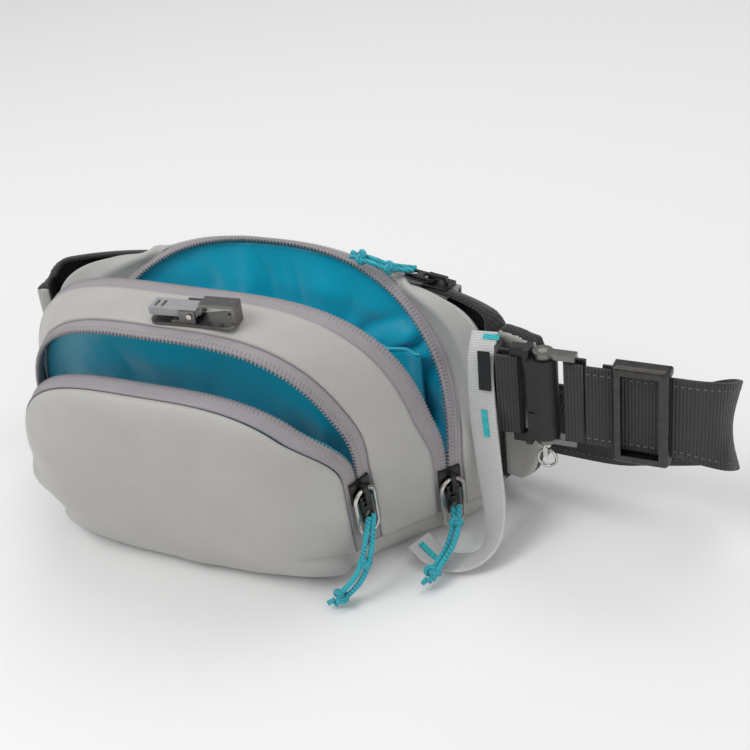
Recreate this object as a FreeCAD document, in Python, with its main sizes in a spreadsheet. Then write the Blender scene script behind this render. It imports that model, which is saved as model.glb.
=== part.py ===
"""Money belt (hip pack) with both compartments unzipped, drawn in millimetres.

X is the wearer's left-right, Y points back to the wearer, Z is up and z = 0 is the table.
The bag is a set of arched cloth bands between the front panel and the back panel.
"""
import FreeCAD, Part
import math
import os

Vec = FreeCAD.Vector
doc = FreeCAD.newDocument("MoneyBelt")
sheet = doc.addObject("Spreadsheet::Sheet", "Sizes")

SIZES = [
    ("base_top", 12.0, "height of the seam on top of the bottom panel"),
    ("arch_base", 6.0, "level the arches are measured from"),
    ("panel_half", 76.0, "front panel, half width"),
    ("panel_rise", 93.0, "front panel, height above arch_base"),
    ("front_half", 81.0, "front zip, half width"),
    ("front_rise", 94.7, "front zip's front edge, height above arch_base"),
    ("pocket_rise", 112.3, "front zip's rear edge, height above arch_base"),
    ("main_half", 100.8, "main zip, half width"),
    ("main_rise", 115.3, "main zip's front edge, height above arch_base"),
    ("leaf_rise", 102.9, "main zip's rear edge, height above arch_base"),
    ("back_half", 116.5, "back panel, half width"),
    ("back_rise", 89.5, "back edge, height above arch_base"),
    ("back_depth", 104.0, "front face of the back panel at its middle"),
    ("back_bulge", 14.0, "how far the back's sides come forward at x = 100"),
    ("back_pad", 9.0, "back panel thickness"),
    ("cloth", 2.0, "outer cloth with its backing"),
    ("lining", 0.8, "lining cloth"),
    ("tape_cloth", 0.8, "zip tape thickness"),
    ("tape_half", 7.5, "chain centre to the tape's seam"),
    ("chain_gap", 1.8, "gap between the two rows of coil"),
    ("coil_width", 3.2, "one row of coil, width"),
    ("coil_height", 2.2, "one row of coil, height"),
    ("slide_gap", 0.5, "slider to coil clearance"),
    ("slider_length", 12.0, "slider, along the chain"),
    ("slider_plate", 1.3, "slider plate thickness"),
    ("tab_length", 14.0, "pull tab, hinge to tip"),
    ("tab_width", 6.0, "pull tab width"),
    ("ring_length", 28.0, "oval ring, outer length"),
    ("ring_width", 12.6, "oval ring, outer width"),
    ("ring_wire", 2.0, "oval ring wire"),
    ("cord_wire", 2.4, "pull cord diameter"),
    ("webbing_width", 38.0, "waist webbing width"),
    ("webbing_cloth", 1.6, "waist webbing thickness"),
    ("webbing_gap", 0.5, "webbing to metal clearance"),
    ("loop_width", 13.0, "side loop webbing width"),
    ("loop_cloth", 1.2, "side loop webbing thickness"),
    ("frame_bar", 4.0, "buckle frame bar"),
    ("barrel_radius", 6.0, "buckle barrel radius"),
    ("pin_radius", 2.0, "locking pin radius"),
    ("pin_gap", 0.1, "locking pin running clearance"),
    ("bracket_reach", 12.0, "hinge pin to the bracket's bar"),
    ("bracket_wire", 1.4, "bracket bar radius"),
    ("triglide_width", 24.0, "strap slider, along the strap"),
    ("plate_length", 38.0, "lock plate length"),
    ("plate_width", 13.0, "lock plate width"),
]
for row, (name, value, note) in enumerate(SIZES, start=1):
    sheet.set(f"A{row}", name)
    sheet.set(f"B{row}", f"{value:g}")
    sheet.set(f"C{row}", note)
    sheet.setAlias(f"B{row}", name)
doc.recompute()
SIZE = {name: float(sheet.get(name)) for name, value, note in SIZES}
nodes = []
ORIGIN = FreeCAD.Placement(Vec(0, -52, 0), FreeCAD.Rotation())


def keep(obj, label, placement=None):
    """Give a finished sub-part its label and place, with the origin under the bag's middle."""
    obj.Label = label
    obj.Placement = ORIGIN.multiply(obj.Placement if placement is None else placement)
    nodes.append(obj)
    return obj


def shape_part(label, shape, placement=None):
    """A sub-part whose curved shape comes from Part's own functions."""
    obj = doc.addObject("Part::Feature", label)
    obj.Shape = shape
    return keep(obj, label, placement)


# ---------------------------------------------------------------- bound primitives

def bind(obj, sizes):
    """Bind properties to the sheet: a dot in the key is written as two underscores."""
    for key, text in sizes.items():
        obj.setExpression(key.replace("__", "."), text.replace("@", "Sizes."))
    return obj


def box(name, low, high):
    """A box between two corners, given as expressions in sheet names."""
    obj = doc.addObject("Part::Box", name)
    sizes = {}
    for side, axis, a, b in zip(("Length", "Width", "Height"), "xyz", low, high):
        sizes[side] = f"({b}) - ({a})"
        sizes[f"Placement__Base__{axis}"] = f"{a}"
    return bind(obj, sizes)


AXIS_TURN = {
    "x": FreeCAD.Rotation(Vec(0, 1, 0), 90),
    "y": FreeCAD.Rotation(Vec(1, 0, 0), -90),
    "z": FreeCAD.Rotation(),
}


def rod(name, radius, start, length, axis="z"):
    """A cylinder from start along an axis."""
    obj = doc.addObject("Part::Cylinder", name)
    obj.Placement = FreeCAD.Placement(Vec(), AXIS_TURN[axis])
    sizes = {"Radius": radius, "Height": length}
    for key, text in zip("xyz", start):
        sizes[f"Placement__Base__{key}"] = text
    return bind(obj, sizes)


def fuse(name, parts):
    obj = doc.addObject("Part::MultiFuse", name)
    obj.Shapes = parts
    obj.Refine = True
    return obj


def compound(label, parts, placement=None):
    """One node made of separate solids, or of one primitive that is moved as a whole."""
    obj = doc.addObject("Part::Compound", label)
    obj.Links = parts
    return keep(obj, label, placement)


def cut(name, base, tool):
    obj = doc.addObject("Part::Cut", name)
    obj.Base = base
    obj.Tool = tool
    return obj


def rounded(name, base, radius, pick):
    """Fillet the edges of base that pick accepts."""
    doc.recompute()
    obj = doc.addObject("Part::Fillet", name)
    obj.Base = base
    obj.Edges = [(i, radius, radius) for i, edge in enumerate(base.Shape.Edges, start=1) if pick(edge)]
    return obj


def along(axis):
    """Accept straight edges that run along one axis."""
    def pick(edge):
        first, last = edge.Vertexes[0].Point, edge.Vertexes[-1].Point
        step = (last - first)
        return step.Length > 1e-6 and abs(abs(step.normalize().dot(axis)) - 1) < 1e-6
    return pick


# ---------------------------------------------------------------- cloth from curves

def spline(points, closed=False):
    curve = Part.BSplineCurve()
    curve.interpolate(Points=points, PeriodicFlag=closed)
    return curve.toShape()


def solid_from(faces):
    sewn = Part.Compound(faces)
    sewn.sewShape()
    solid = Part.Solid(sewn.Shells[0])
    if solid.Volume < 0:
        solid.reverse()
    return solid


def ruled(curves):
    return [Part.makeRuledSurface(a, b) for a, b in zip(curves[:-1], curves[1:])]


def mix(first, second, share):
    return [a + (b - a) * share for a, b in zip(first, second)]


def smooth(value):
    value = min(max(value, 0.0), 1.0)
    return value * value * (3 - 2 * value)


class Arch:
    """One seam line that arches over the bag, from its right foot to its left foot.

    half, rise and power shape it; depth, lean and bulge place it in Y.  foot is where it
    meets the bottom seam, and leg (height, x, y) is the top of a straight right leg.
    """

    def __init__(self, half, rise, power, depth, lean, bulge, foot, leg=None, curl=2):
        self.curl = curl
        self.half, self.rise, self.power = half, rise, power
        self.depth, self.lean, self.bulge = depth, lean, bulge
        self.foot, self.leg = foot, leg

    def plane(self, x, z):
        return self.depth - self.lean * (z - SIZE["arch_base"]) + self.bulge * (abs(x) / 100) ** self.curl

    def wide(self, z, inset):
        share = min((z - SIZE["arch_base"]) / (self.rise - inset), 1.0)
        return (self.half - inset) * (1 - share ** self.power) ** (1 / self.power)

    def side(self, z, inset, right):
        """The x and y of one leg at height z."""
        base = SIZE["base_top"]
        top, blend = (self.leg[0], 30.0) if right and self.leg else (base + 14.0, 22.0)
        own_x = self.wide(top, inset)
        if right and self.leg:
            end_x, end_y = self.leg[1] - inset, self.leg[2]
        else:
            end_x, end_y = own_x, self.plane(own_x, top)
        share = (z - base) / (top - base)
        foot_x = self.foot[0] - inset
        leg = (foot_x + share * (end_x - foot_x), self.foot[1] + share * (end_y - self.foot[1]))
        x = self.wide(z, inset)
        return mix(leg, (x, self.plane(x, z)), smooth((z - top) / blend))

    def points(self, inset=0.0, back=0.0, start=None):
        start = SIZE["base_top"] if start is None else start
        rise = self.rise - inset
        shares = [0.9 * math.cos(math.pi * i / 20) for i in range(10)]
        tops = [SIZE["arch_base"] + rise * (1 - share ** self.power) ** (1 / self.power) for share in shares]
        knee = tops[0]
        right, left = [], []
        for i in range(10):
            z = start + (knee - start) * i / 10
            right.append((*self.side(z, inset, True), z))
            left.append((*self.side(z, inset, False), z))
        for z in tops:
            right.append((*self.side(z, inset, True), z))
            left.append((*self.side(z, inset, False), z))
        top = SIZE["arch_base"] + rise
        line = [Vec(x, y + back, z) for x, y, z in right]
        line.append(Vec(0, self.plane(0, top) + back, top))
        line += [Vec(-x, y + back, z) for x, y, z in reversed(left)]
        return line


def loft(sections):
    """A solid through closed sections, given as lists of corners."""
    return Part.makeLoft([Part.makePolygon(line + line[:1]) for line in sections], True, True)


def band(outer, inner):
    """A cloth band: outer and inner are matching lists of arch points, front to back."""
    sections = []
    for i in range(len(outer[0])):
        sections.append([line[i] for line in outer] + [line[i] for line in reversed(inner)])
    return loft(sections)


def closed_outline(arch, inset, back, low, power=3.2):
    """The arch closed below the bottom seam by a flat round-cornered sweep."""
    line = arch.points(inset, back)
    base = SIZE["base_top"]
    foot = arch.foot[0] - inset
    for i in range(1, 14):
        angle = math.pi * i / 14
        share = abs(math.cos(angle)) ** (2 / power)
        x = -foot * math.copysign(share, math.cos(angle))
        z = base - (base - low - inset) * math.sin(angle) ** (2 / power)
        line.append(Vec(x, arch.plane(x, z) + back, z))
    return line


def dish(arch, rings, inset, back, low):
    """Rings of a bulged panel: each ring is (scale, forward bulge)."""
    middle = SIZE["arch_base"] + 0.45 * arch.rise
    edge = closed_outline(arch, inset, back, low)
    out = []
    for scale, bulge in rings:
        flat = smooth((1 - scale) / 0.3)
        line = []
        for point in edge:
            x, z = point.x * scale, middle + (point.z - middle) * scale
            level = arch.depth - arch.lean * (z - SIZE["arch_base"]) + back
            line.append(Vec(x, level - bulge + (point.y - arch.plane(0, point.z) - back) * (1 - flat), z))
        out.append(line)
    return out


def panel(outer, inner):
    """A closed cloth panel from two sets of rings, capped flat in the middle."""
    outside = [spline(line, True) for line in outer]
    inside = [spline(line, True) for line in inner]
    faces = ruled(outside) + ruled(inside) + ruled([outside[0], inside[0]])
    faces.append(Part.Face(Part.Wire(outside[-1])))
    faces.append(Part.Face(Part.Wire(inside[-1])))
    return solid_from(faces)


def ribbon(route, widths, width, cloth):
    """Webbing along a route, with the direction of its width given at each point."""
    sections = []
    for i, (point, across) in enumerate(zip(route, widths)):
        ahead = route[min(i + 1, len(route) - 1)] - route[max(i - 1, 0)]
        across = across - ahead * (across.dot(ahead) / ahead.dot(ahead))
        across = across.normalize()
        out = ahead.cross(across).normalize()
        sections.append([point + across * (a * width / 2) + out * (b * cloth / 2)
                         for a, b in ((1, 1), (-1, 1), (-1, -1), (1, -1))])
    return loft(sections)


def dense(route, steps=4):
    """More points along the same smooth path (Catmull-Rom)."""
    out = []
    for i in range(len(route) - 1):
        a, b, c, d = (route[max(i - 1, 0)], route[i], route[i + 1], route[min(i + 2, len(route) - 1)])
        for k in range(steps):
            t = k / steps
            out.append((b * 2 + (c - a) * t + (a * 2 - b * 5 + c * 4 - d) * t ** 2
                        + (b * 3 - a - c * 3 + d) * t ** 3) * 0.5)
    return out + [route[-1]]


def cord(route, wire):
    """A cord of straight runs joined by tangent arcs, as large as the runs allow."""
    edges, last = [], route[0]
    for before, here, after in zip(route, route[1:], route[2:]):
        back, ahead = before - here, after - here
        reach = 0.45 * min(back.Length, ahead.Length)
        back, ahead = back.normalize(), ahead.normalize()
        into, out = here + back * reach, here + ahead * reach
        turn = math.pi - math.acos(max(-1, min(1, back.dot(ahead))))
        middle = (back + ahead).normalize()
        radius = reach / math.tan(turn / 2)
        centre = here + middle * math.hypot(radius, reach)
        edges += [Part.makeLine(last, into), Part.Arc(into, centre - middle * radius, out).toShape()]
        last = out
    edges.append(Part.makeLine(last, route[-1]))
    path = Part.Wire(edges)
    section = Part.Wire(Part.makeCircle(wire / 2, route[0], route[1] - route[0]))
    return path.makePipeShell([section], True, False)


# ---------------------------------------------------------------- the zip frames

def frame_at(origin, up, side):
    """A placement whose Y runs up the chain, X across it and Z out of the bag."""
    up = Vec(up).normalize()
    side = Vec(side)
    side = (side - up * side.dot(up)).normalize()
    return FreeCAD.Placement(origin, FreeCAD.Rotation(side, up, side.cross(up), "XYZ"))


class Chain:
    """The closed end of a zip: a straight run from the bottom seam up to the slider."""

    def __init__(self, low, high, side):
        self.low, self.high, self.side = low, high, side.normalize()

    def at(self, z):
        share = (z - self.low.z) / (self.high.z - self.low.z)
        return self.low + (self.high - self.low) * share

    def across(self, z, offset):
        point = self.at(z) + self.side * offset
        return point.x, point.y

    def placement(self, z):
        inward = Vec(-self.side.y, self.side.x, 0) * (SIZE["tape_cloth"] / 2)
        return frame_at(self.at(z) + inward, self.high - self.low, self.side)


front_chain = Chain(Vec(SIZE["front_half"] - 5, 16, 12), Vec(SIZE["front_half"] - 3.2, 8.5, 54),
                    Vec(0.406, 0.914, 0))
main_chain = Chain(Vec(SIZE["main_half"] + 0.2, 50, 12), Vec(SIZE["main_half"] + 0.8, 49, 37),
                   Vec(0.645, 0.765, 0))
half_gap = SIZE["chain_gap"] / 2
seam = SIZE["tape_half"]


def zip_arch(chain, offset, half, rise, power, depth, lean, bulge):
    low, high = chain.low.z, chain.high.z
    return Arch(half, rise, power, depth, lean, bulge, chain.across(low, offset),
                (high, *chain.across(high, offset)))


front_seam = zip_arch(front_chain, -seam, SIZE["front_half"] - 3.5, SIZE["front_rise"] - 0.5,
                      3.1, -1.5, 0.24, 10)
front_edge = zip_arch(front_chain, -half_gap, SIZE["front_half"], SIZE["front_rise"],
                      3.06, 5.84, 0.22, 10)
pocket_edge = zip_arch(front_chain, half_gap, SIZE["front_half"] + 0.2, SIZE["pocket_rise"],
                       3.09, 15.6, 0.21, 10)
pocket_seam = zip_arch(front_chain, seam, SIZE["front_half"] + 2.5, SIZE["pocket_rise"] + 0.5,
                       3.1, 23.0, 0.205, 10)
main_seam = zip_arch(main_chain, -seam, SIZE["main_half"] - 3.8, SIZE["main_rise"] + 0.2,
                     3.31, 32.0, 0.10, 10)
main_edge = zip_arch(main_chain, -half_gap, SIZE["main_half"], SIZE["main_rise"],
                     3.31, 40.0, 0.09, 10)
leaf_edge = zip_arch(main_chain, half_gap, SIZE["main_half"] + 0.2, SIZE["leaf_rise"],
                     2.35, 43.5, -0.54, 4)
leaf_seam = zip_arch(main_chain, seam, SIZE["main_half"] + 4.7, SIZE["leaf_rise"] - 1.4,
                     2.5, 50.5, -0.515, 4)
back_y = SIZE["back_depth"]
bulge = SIZE["back_bulge"]
back_edge = Arch(SIZE["back_half"], SIZE["back_rise"], 9.0, back_y, 0.0, -bulge,
                 (SIZE["back_half"], back_y - bulge * (SIZE["back_half"] / 100) ** 4), curl=4)
panel_arch = Arch(SIZE["panel_half"], SIZE["panel_rise"], 3.1, -1.9, 0.24, 10,
                  (front_chain.across(12, -seam)[0] - 0.5, front_chain.across(12, -seam)[1] - 0.7),
                  (54.0, front_chain.across(54, -seam)[0] - 0.5, front_chain.across(54, -seam)[1] - 0.7))


# ---------------------------------------------------------------- the bag's cloth

def sunk(lines, depth):
    """Move a cloth surface, given as its seam lines front to back, inward along its normal."""
    out = []
    for j, line in enumerate(lines):
        ahead, behind = lines[min(j + 1, len(lines) - 1)], lines[max(j - 1, 0)]
        moved = []
        for i, point in enumerate(line):
            up = line[min(i + 1, len(line) - 1)] - line[max(i - 1, 0)]
            inward = up.cross(ahead[i] - behind[i])
            if i in (0, len(line) - 1):
                inward.z = 0
            moved.append(point + inward.normalize() * depth)
        out.append(moved)
    return out


def zip_tape(label, seam_arch, edge_arch, edge_first):
    """Tape from its seam to where the coil starts, then the coil to the free edge."""
    seam_line, edge_line = seam_arch.points(), edge_arch.points()
    wide = seam - half_gap
    tape = [seam_line, mix(seam_line, edge_line, 1 - (SIZE["coil_width"] + 0.1) / wide)]
    coil = [mix(seam_line, edge_line, 1 - SIZE["coil_width"] / wide), edge_line]
    if edge_first:
        tape.reverse()
        coil.reverse()
    lift = (SIZE["coil_height"] - SIZE["tape_cloth"]) / 2
    shape_part(f"{label}_tape", band(tape, sunk(tape, SIZE["tape_cloth"])))
    shape_part(f"{label}_coil", band(sunk(coil, -lift), sunk(coil, SIZE["tape_cloth"] + lift)))


zip_tape("front_zip_front", front_seam, front_edge, False)
zip_tape("front_zip_rear", pocket_seam, pocket_edge, True)
zip_tape("main_zip_front", main_seam, main_edge, False)
zip_tape("main_zip_rear", leaf_seam, leaf_edge, True)


def cloth_gap(points, ahead, gap):
    """Move a seam line toward the next seam, so that two cloths only meet."""
    return [a + (b - a) * min(gap / max((b - a).Length, 1.0), 0.4) for a, b in zip(points, ahead)]


def gusset(label, lines, near, far, gaps):
    """A band between seam lines, from near to far under the outer surface."""
    lines = list(lines)
    lines[0] = cloth_gap(lines[0], lines[1], gaps[0])
    lines[-1] = cloth_gap(lines[-1], lines[-2], gaps[1])
    return shape_part(label, band(sunk(lines, near), sunk(lines, far)))


middle_lines = [pocket_seam.points(), main_seam.points()]
rear_lines = [leaf_seam.points(), back_edge.points(2.2, back=-2.2)]
rear_lines.insert(1, mix(*rear_lines, 0.5))
rear_lines[1] = sunk(rear_lines, -3.0)[1]
liner_in = SIZE["cloth"] + 0.8
liner_far = liner_in + SIZE["lining"]
gusset("middle_gusset", middle_lines, 0, SIZE["cloth"], (0.3, 0.8))
gusset("rear_gusset", rear_lines, 0, SIZE["cloth"], (1.0, 0.1))
gusset("gusset_lining", middle_lines, liner_in, liner_far, (2.0, 2.0))
gusset("rear_lining", rear_lines, liner_in, liner_far, (5.0, 9.0))

RINGS = [(1.0, 0.0), (0.97, 3.2), (0.88, 6.6), (0.7, 9.0)]
cloth = SIZE["cloth"]
shape_part("front_panel", panel(
    dish(panel_arch, RINGS, 0, 0, 0.0),
    dish(panel_arch, [(s, max(d - cloth, 0)) for s, d in RINGS], cloth, 0, 0.0)))
liner_back = cloth + 0.6
shape_part("front_pocket_lining", panel(
    dish(panel_arch, [(s, 0.55 * d) for s, d in RINGS], liner_back, 1.0, SIZE["base_top"]),
    dish(panel_arch, [(s, 0.55 * d) for s, d in RINGS], liner_back, 1.0 + SIZE["lining"], SIZE["base_top"])))


def wall(label, arch, inset, back, low, thick):
    rings = [(1.0, 0.0), (0.85, 0.0), (0.68, 0.0)]
    shape_part(label, panel(dish(arch, rings, inset, back, low),
                            dish(arch, rings, inset, back + thick, low)))


wall("divider", pocket_seam, liner_in + SIZE["lining"] + 0.4, 1.5, 0.5, 1.6)

binding = [front_edge.points(2.0, back=2.5, start=66.0), front_edge.points(2.0, back=3.5, start=66.0)]
binding_in = [front_edge.points(11.0, back=2.5, start=66.0), front_edge.points(11.0, back=3.5, start=66.0)]
shape_part("front_binding", band(binding, binding_in))


def footprint(share, z):
    """The bottom panel's outline, scaled about its middle and lifted to z."""
    half = [(x, panel_arch.plane(x, 0) + 0.7) for x in (0, 25, 50, 66)]
    half += [(front_seam.foot[0] + 0.3, front_seam.foot[1] + 0.6)]
    half += [pocket_seam.foot, main_seam.foot, leaf_seam.foot]
    half += [(rear_lines[1][0].x, rear_lines[1][0].y), back_edge.foot]
    half += [(x, back_edge.plane(x, z)) for x in (90, 60, 30, 0)]
    ring = [(x, y) for x, y in half] + [(-x, y) for x, y in reversed(half[1:-1])]
    middle = 0.5 * back_y
    return Part.makePolygon([Vec(x * share, middle + (y - middle) * share, z)
                             for x, y in ring + ring[:1]])


top_z = SIZE["base_top"] - 0.2
tub = Part.makeLoft([footprint(0.95, 0), footprint(1.0, top_z)], True, True)
hollow = Part.makeLoft([footprint(0.925, 2.4), footprint(0.975, top_z + 0.1)], True, True)
shape_part("bottom_panel", tub.cut(hollow))


def bowed_slab(front, thick, low, high, half, corner, grow=0.0):
    """An upright slab that follows the bow of the back, with rounded corners."""
    def line(offset):
        steps = [half * i / 10 for i in range(-10, 11)]
        return spline([Vec(x, back_edge.plane(x, 0) + offset, low) for x in steps])
    near, far = line(front), line(front + thick)
    ends = [Part.makeLine(near.valueAt(p), far.valueAt(q)) for p, q in
            ((near.FirstParameter, far.FirstParameter), (near.LastParameter, far.LastParameter))]
    plan = Part.Face(Part.Wire(Part.__sortEdges__([near, far] + ends)))
    slab = plan.extrude(Vec(0, 0, high - low))
    mask = Part.makeBox(2 * half, 200, high - low, Vec(-half, back_y - 150, low))
    mask = mask.makeFillet(corner, [e for e in mask.Edges if along(Vec(0, 1, 0))(e)])
    return slab.common(mask)


rear_start, rear_end = 36.0, 89.0
back_top = SIZE["arch_base"] + SIZE["back_rise"]
notch_low = back_top - 11.5
slab = bowed_slab(0.3, SIZE["back_pad"], 3.0, back_top - 0.5, SIZE["back_half"], 14)
notch = Part.makeBox(rear_end - rear_start + 12, 60, 30, Vec(rear_start - 5, back_y - 40, notch_low))
shape_part("back_panel", slab.cut(notch))
inner_half = SIZE["back_half"] - 24
shape_part("back_lining", bowed_slab(-1.4, SIZE["lining"], 14.0, back_top - 6, inner_half, 26))
shape_part("slip_pocket", bowed_slab(-4.6, 1.2, 14.0, 66.0, inner_half - 14, 3))

# wings: padded ends that the webbing is sewn to
WING_TOP = 90.0
TIP = 22.0


def wing(label, points, placement):
    """A padded end drawn flat as a sketch, X outward and Z up, and padded 8 mm."""
    body = doc.addObject("PartDesign::Body", label)
    sketch = body.newObject("Sketcher::SketchObject", f"{label}_outline")
    plane = [f for f in body.Origin.OriginFeatures if f.Role == "XZ_Plane"][0]
    sketch.AttachmentSupport = [(plane, "")]
    sketch.MapMode = "FlatFace"
    corners = [Vec(x, z, 0) for x, z in points]
    for a, b in zip(corners, corners[1:] + corners[:1]):
        sketch.addGeometry(Part.LineSegment(a, b))
    pad = body.newObject("PartDesign::Pad", f"{label}_pad")
    pad.Profile = sketch
    bind(pad, {"Length": "@back_pad - 1"})
    pad.Reversed = True
    return keep(body, label, placement)


edge_x, edge_y = back_edge.foot
wing("right_wing", [(0, 13), (8, 12), (15, 18), (19, 30), (TIP, 46), (TIP, 78), (19, 88), (0, WING_TOP)],
     FreeCAD.Placement(Vec(edge_x + 0.4, edge_y + 0.8, 0), FreeCAD.Rotation(Vec(0, 0, 1), -15)))
wing("left_wing", [(0, 16), (8, 16), (16, 24), (TIP, 40), (TIP, 70), (17, 78), (0, 80)],
     FreeCAD.Placement(Vec(-edge_x - 1.4, edge_y + 1.5, 0), FreeCAD.Rotation(Vec(0, 0, 1), 104)))

# rear zip: tapes and closed chain on top of the back panel


def rear_point(x):
    """A point of the straight rear zip, which cuts the corner of the bowed back."""
    drop = (x - rear_start) / (rear_end - rear_start) * 3.6
    return Vec(x, back_edge.plane(x, 0) + 7.2, back_top - 0.6 - drop)


rear_dir = (rear_point(rear_end) - rear_point(rear_start)).normalize()
rear_length = (rear_point(rear_end) - rear_point(rear_start)).Length
rear_place = frame_at(rear_point(rear_end), rear_dir, Vec(rear_dir.y, -rear_dir.x, 0))
tapes = []
coils = []
for sign, tag in ((1, "near"), (-1, "far")):
    inner_edge = "@chain_gap / 2 + @coil_width + 0.1"
    ends = (inner_edge, "@tape_half - 1.0") if sign > 0 else ("-(@tape_half - 1.0)", f"-({inner_edge})")
    tapes.append(box(f"rear_tape_{tag}", (ends[0], f"{-rear_length}", "-@tape_cloth / 2"),
                     (ends[1], "0", "@tape_cloth / 2")))
    rows = ("@chain_gap / 2", "@chain_gap / 2 + @coil_width")
    rows = rows if sign > 0 else (f"-({rows[1]})", f"-({rows[0]})")
    coils.append(box(f"rear_coil_{tag}", (rows[0], f"{-rear_length}", "-@coil_height / 2"),
                     (rows[1], "0", "@coil_height / 2")))
tapes.append(box("rear_skirt", ("-(@tape_half - 1.0)", f"{-rear_length}", "-8.2"),
                 ("-(@tape_half - 1.0) + @tape_cloth", "0", "-@tape_cloth / 2")))
compound("rear_zip_tape", [fuse("rear_tape_far_side", tapes[1:]), tapes[0]], rear_place)
compound("rear_zip_coil", coils, rear_place)

# ---------------------------------------------------------------- pulls

def slider(label, placement):
    """A slider that rides the chain: two plates, a post between the rows and a bridge."""
    reach = "(@chain_gap / 2 + @coil_width + @slide_gap + 0.6)"
    inner = "(@chain_gap / 2 + @coil_width + @slide_gap)"
    low, high = "(-@slider_length / 2)", "(@slider_length / 2)"
    gap = "(@coil_height / 2 + @slide_gap)"
    top = f"({gap} + @slider_plate)"
    lip = "(@tape_cloth / 2 + @slide_gap)"
    parts = [
        box(f"{label}_top", (f"-{reach}", low, gap), (reach, high, top)),
        box(f"{label}_foot", (f"-{reach}", low, f"-{top}"), (reach, high, f"-{gap}")),
        box(f"{label}_post", ("-0.4", f"{high} - 3.5", f"-{gap}"), ("0.4", f"{high} - 0.5", gap)),
    ]
    for side, a, b in (("a", inner, reach), ("b", f"-{reach}", f"-{inner}")):
        parts.append(box(f"{label}_lip_{side}", (a, low, lip), (b, high, gap)))
        parts.append(box(f"{label}_heel_{side}", (a, low, f"-{gap}"), (b, high, f"-{lip}")))
    parts += [
        box(f"{label}_bridge_low", ("-1.1", "-5", top), ("1.1", "-3.8", f"{top} + 3.4")),
        box(f"{label}_bridge_high", ("-1.1", "3.2", top), ("1.1", "4.4", f"{top} + 3.4")),
        box(f"{label}_bridge_span", ("-1.1", "-5", f"{top} + 2.6"), ("1.1", "4.4", f"{top} + 3.8")),
    ]
    return keep(fuse(label, parts), label, placement)


hinge_w = SIZE["coil_height"] / 2 + SIZE["slide_gap"] + SIZE["slider_plate"] + 1.35
TAB_AT = -2.2
RING_AT = 1.6


def pull_tab(label, placement):
    """A flat tab with a cross bar under the bridge and a cord hole at its tip."""
    plate = box(f"{label}_plate", ("-@tab_width / 2", "-@tab_length", "-0.6"),
                ("@tab_width / 2", "0.8", "0.6"))
    slot = box(f"{label}_slot", ("-1.6", "-5.4", "-2"), ("1.6", "3", "2"))
    bar = rod(f"{label}_bar", "0.8", ("-@tab_width / 2", "0", "0"), "@tab_width", "x")
    hole = rod(f"{label}_hole", "1.9", ("0", "-@tab_length + 3.4", "-2"), "4")
    open_plate = cut(f"{label}_open", cut(f"{label}_slotted", plate, slot), hole)
    place = placement.multiply(FreeCAD.Placement(Vec(0, TAB_AT, hinge_w), FreeCAD.Rotation()))
    return keep(fuse(label, [open_plate, bar]), label, place)


def oval_ring(label, placement):
    """A closed wire ring: two straight sides and two half circles."""
    wire = SIZE["ring_wire"]
    half = (SIZE["ring_width"] - wire) / 2
    length = SIZE["ring_length"] - wire
    top, low = -half, -length + half
    edges = [
        Part.makeLine(Vec(half, low, 0), Vec(half, top, 0)),
        Part.Arc(Vec(half, top, 0), Vec(0, 0, 0), Vec(-half, top, 0)).toShape(),
        Part.makeLine(Vec(-half, top, 0), Vec(-half, low, 0)),
        Part.Arc(Vec(-half, low, 0), Vec(0, -length, 0), Vec(half, low, 0)).toShape(),
    ]
    section = Part.Wire(Part.makeCircle(wire / 2, edges[0].Vertexes[0].Point, Vec(0, 1, 0)))
    ring = Part.Wire(edges).makePipeShell([section], True, False)
    place = placement.multiply(FreeCAD.Placement(Vec(0, RING_AT, hinge_w), FreeCAD.Rotation()))
    return shape_part(label, ring, place)


def knots(label, spots):
    """The knots of one pull cord: plain closed balls."""
    group = []
    for i, (centre, radius, long) in enumerate(spots):
        ball = doc.addObject("Part::Ellipsoid", f"{label}_{i}")
        ball.Radius1, ball.Radius2, ball.Radius3 = radius, long, radius
        ball.Placement.Base = centre
        group.append(ball)
    return compound(label, group)


wire = SIZE["cord_wire"]
front_place = front_chain.placement(46.5)
main_place = main_chain.placement(29.0)
rear_slider_place = rear_place.multiply(FreeCAD.Placement(Vec(0, -8.0, 0), FreeCAD.Rotation()))
slider("front_slider", front_place)
pull_tab("front_pull_tab", front_place)
oval_ring("front_ring", front_place)
slider("main_slider", main_place)
pull_tab("main_pull_tab", main_place)
oval_ring("main_ring", main_place)
slider("rear_slider", rear_slider_place)
pull_tab("rear_pull_tab", rear_slider_place)


def strands(label, middle, spread, starts):
    """Two strands of one pull cord, side by side from the tab to the end knot."""
    for tag, sign, start in (("left", -1, starts[0]), ("right", 1, starts[1])):
        route = [start] + [point + spread * (sign * wire * 0.68) for point in middle]
        tube = cord(route, wire)
        shape_part(f"{label}_{tag}", tube)


def local(placement, x, y, z):
    return placement.multVec(Vec(x, y, z))


def tab_hole(placement):
    """Where the two strands leave the tab's hole, side by side."""
    return [local(placement, x, TAB_AT - SIZE["tab_length"] + 3.4, hinge_w + wire / 2 + 0.9)
            for x in (-0.55 * wire, 0.55 * wire)]


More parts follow.
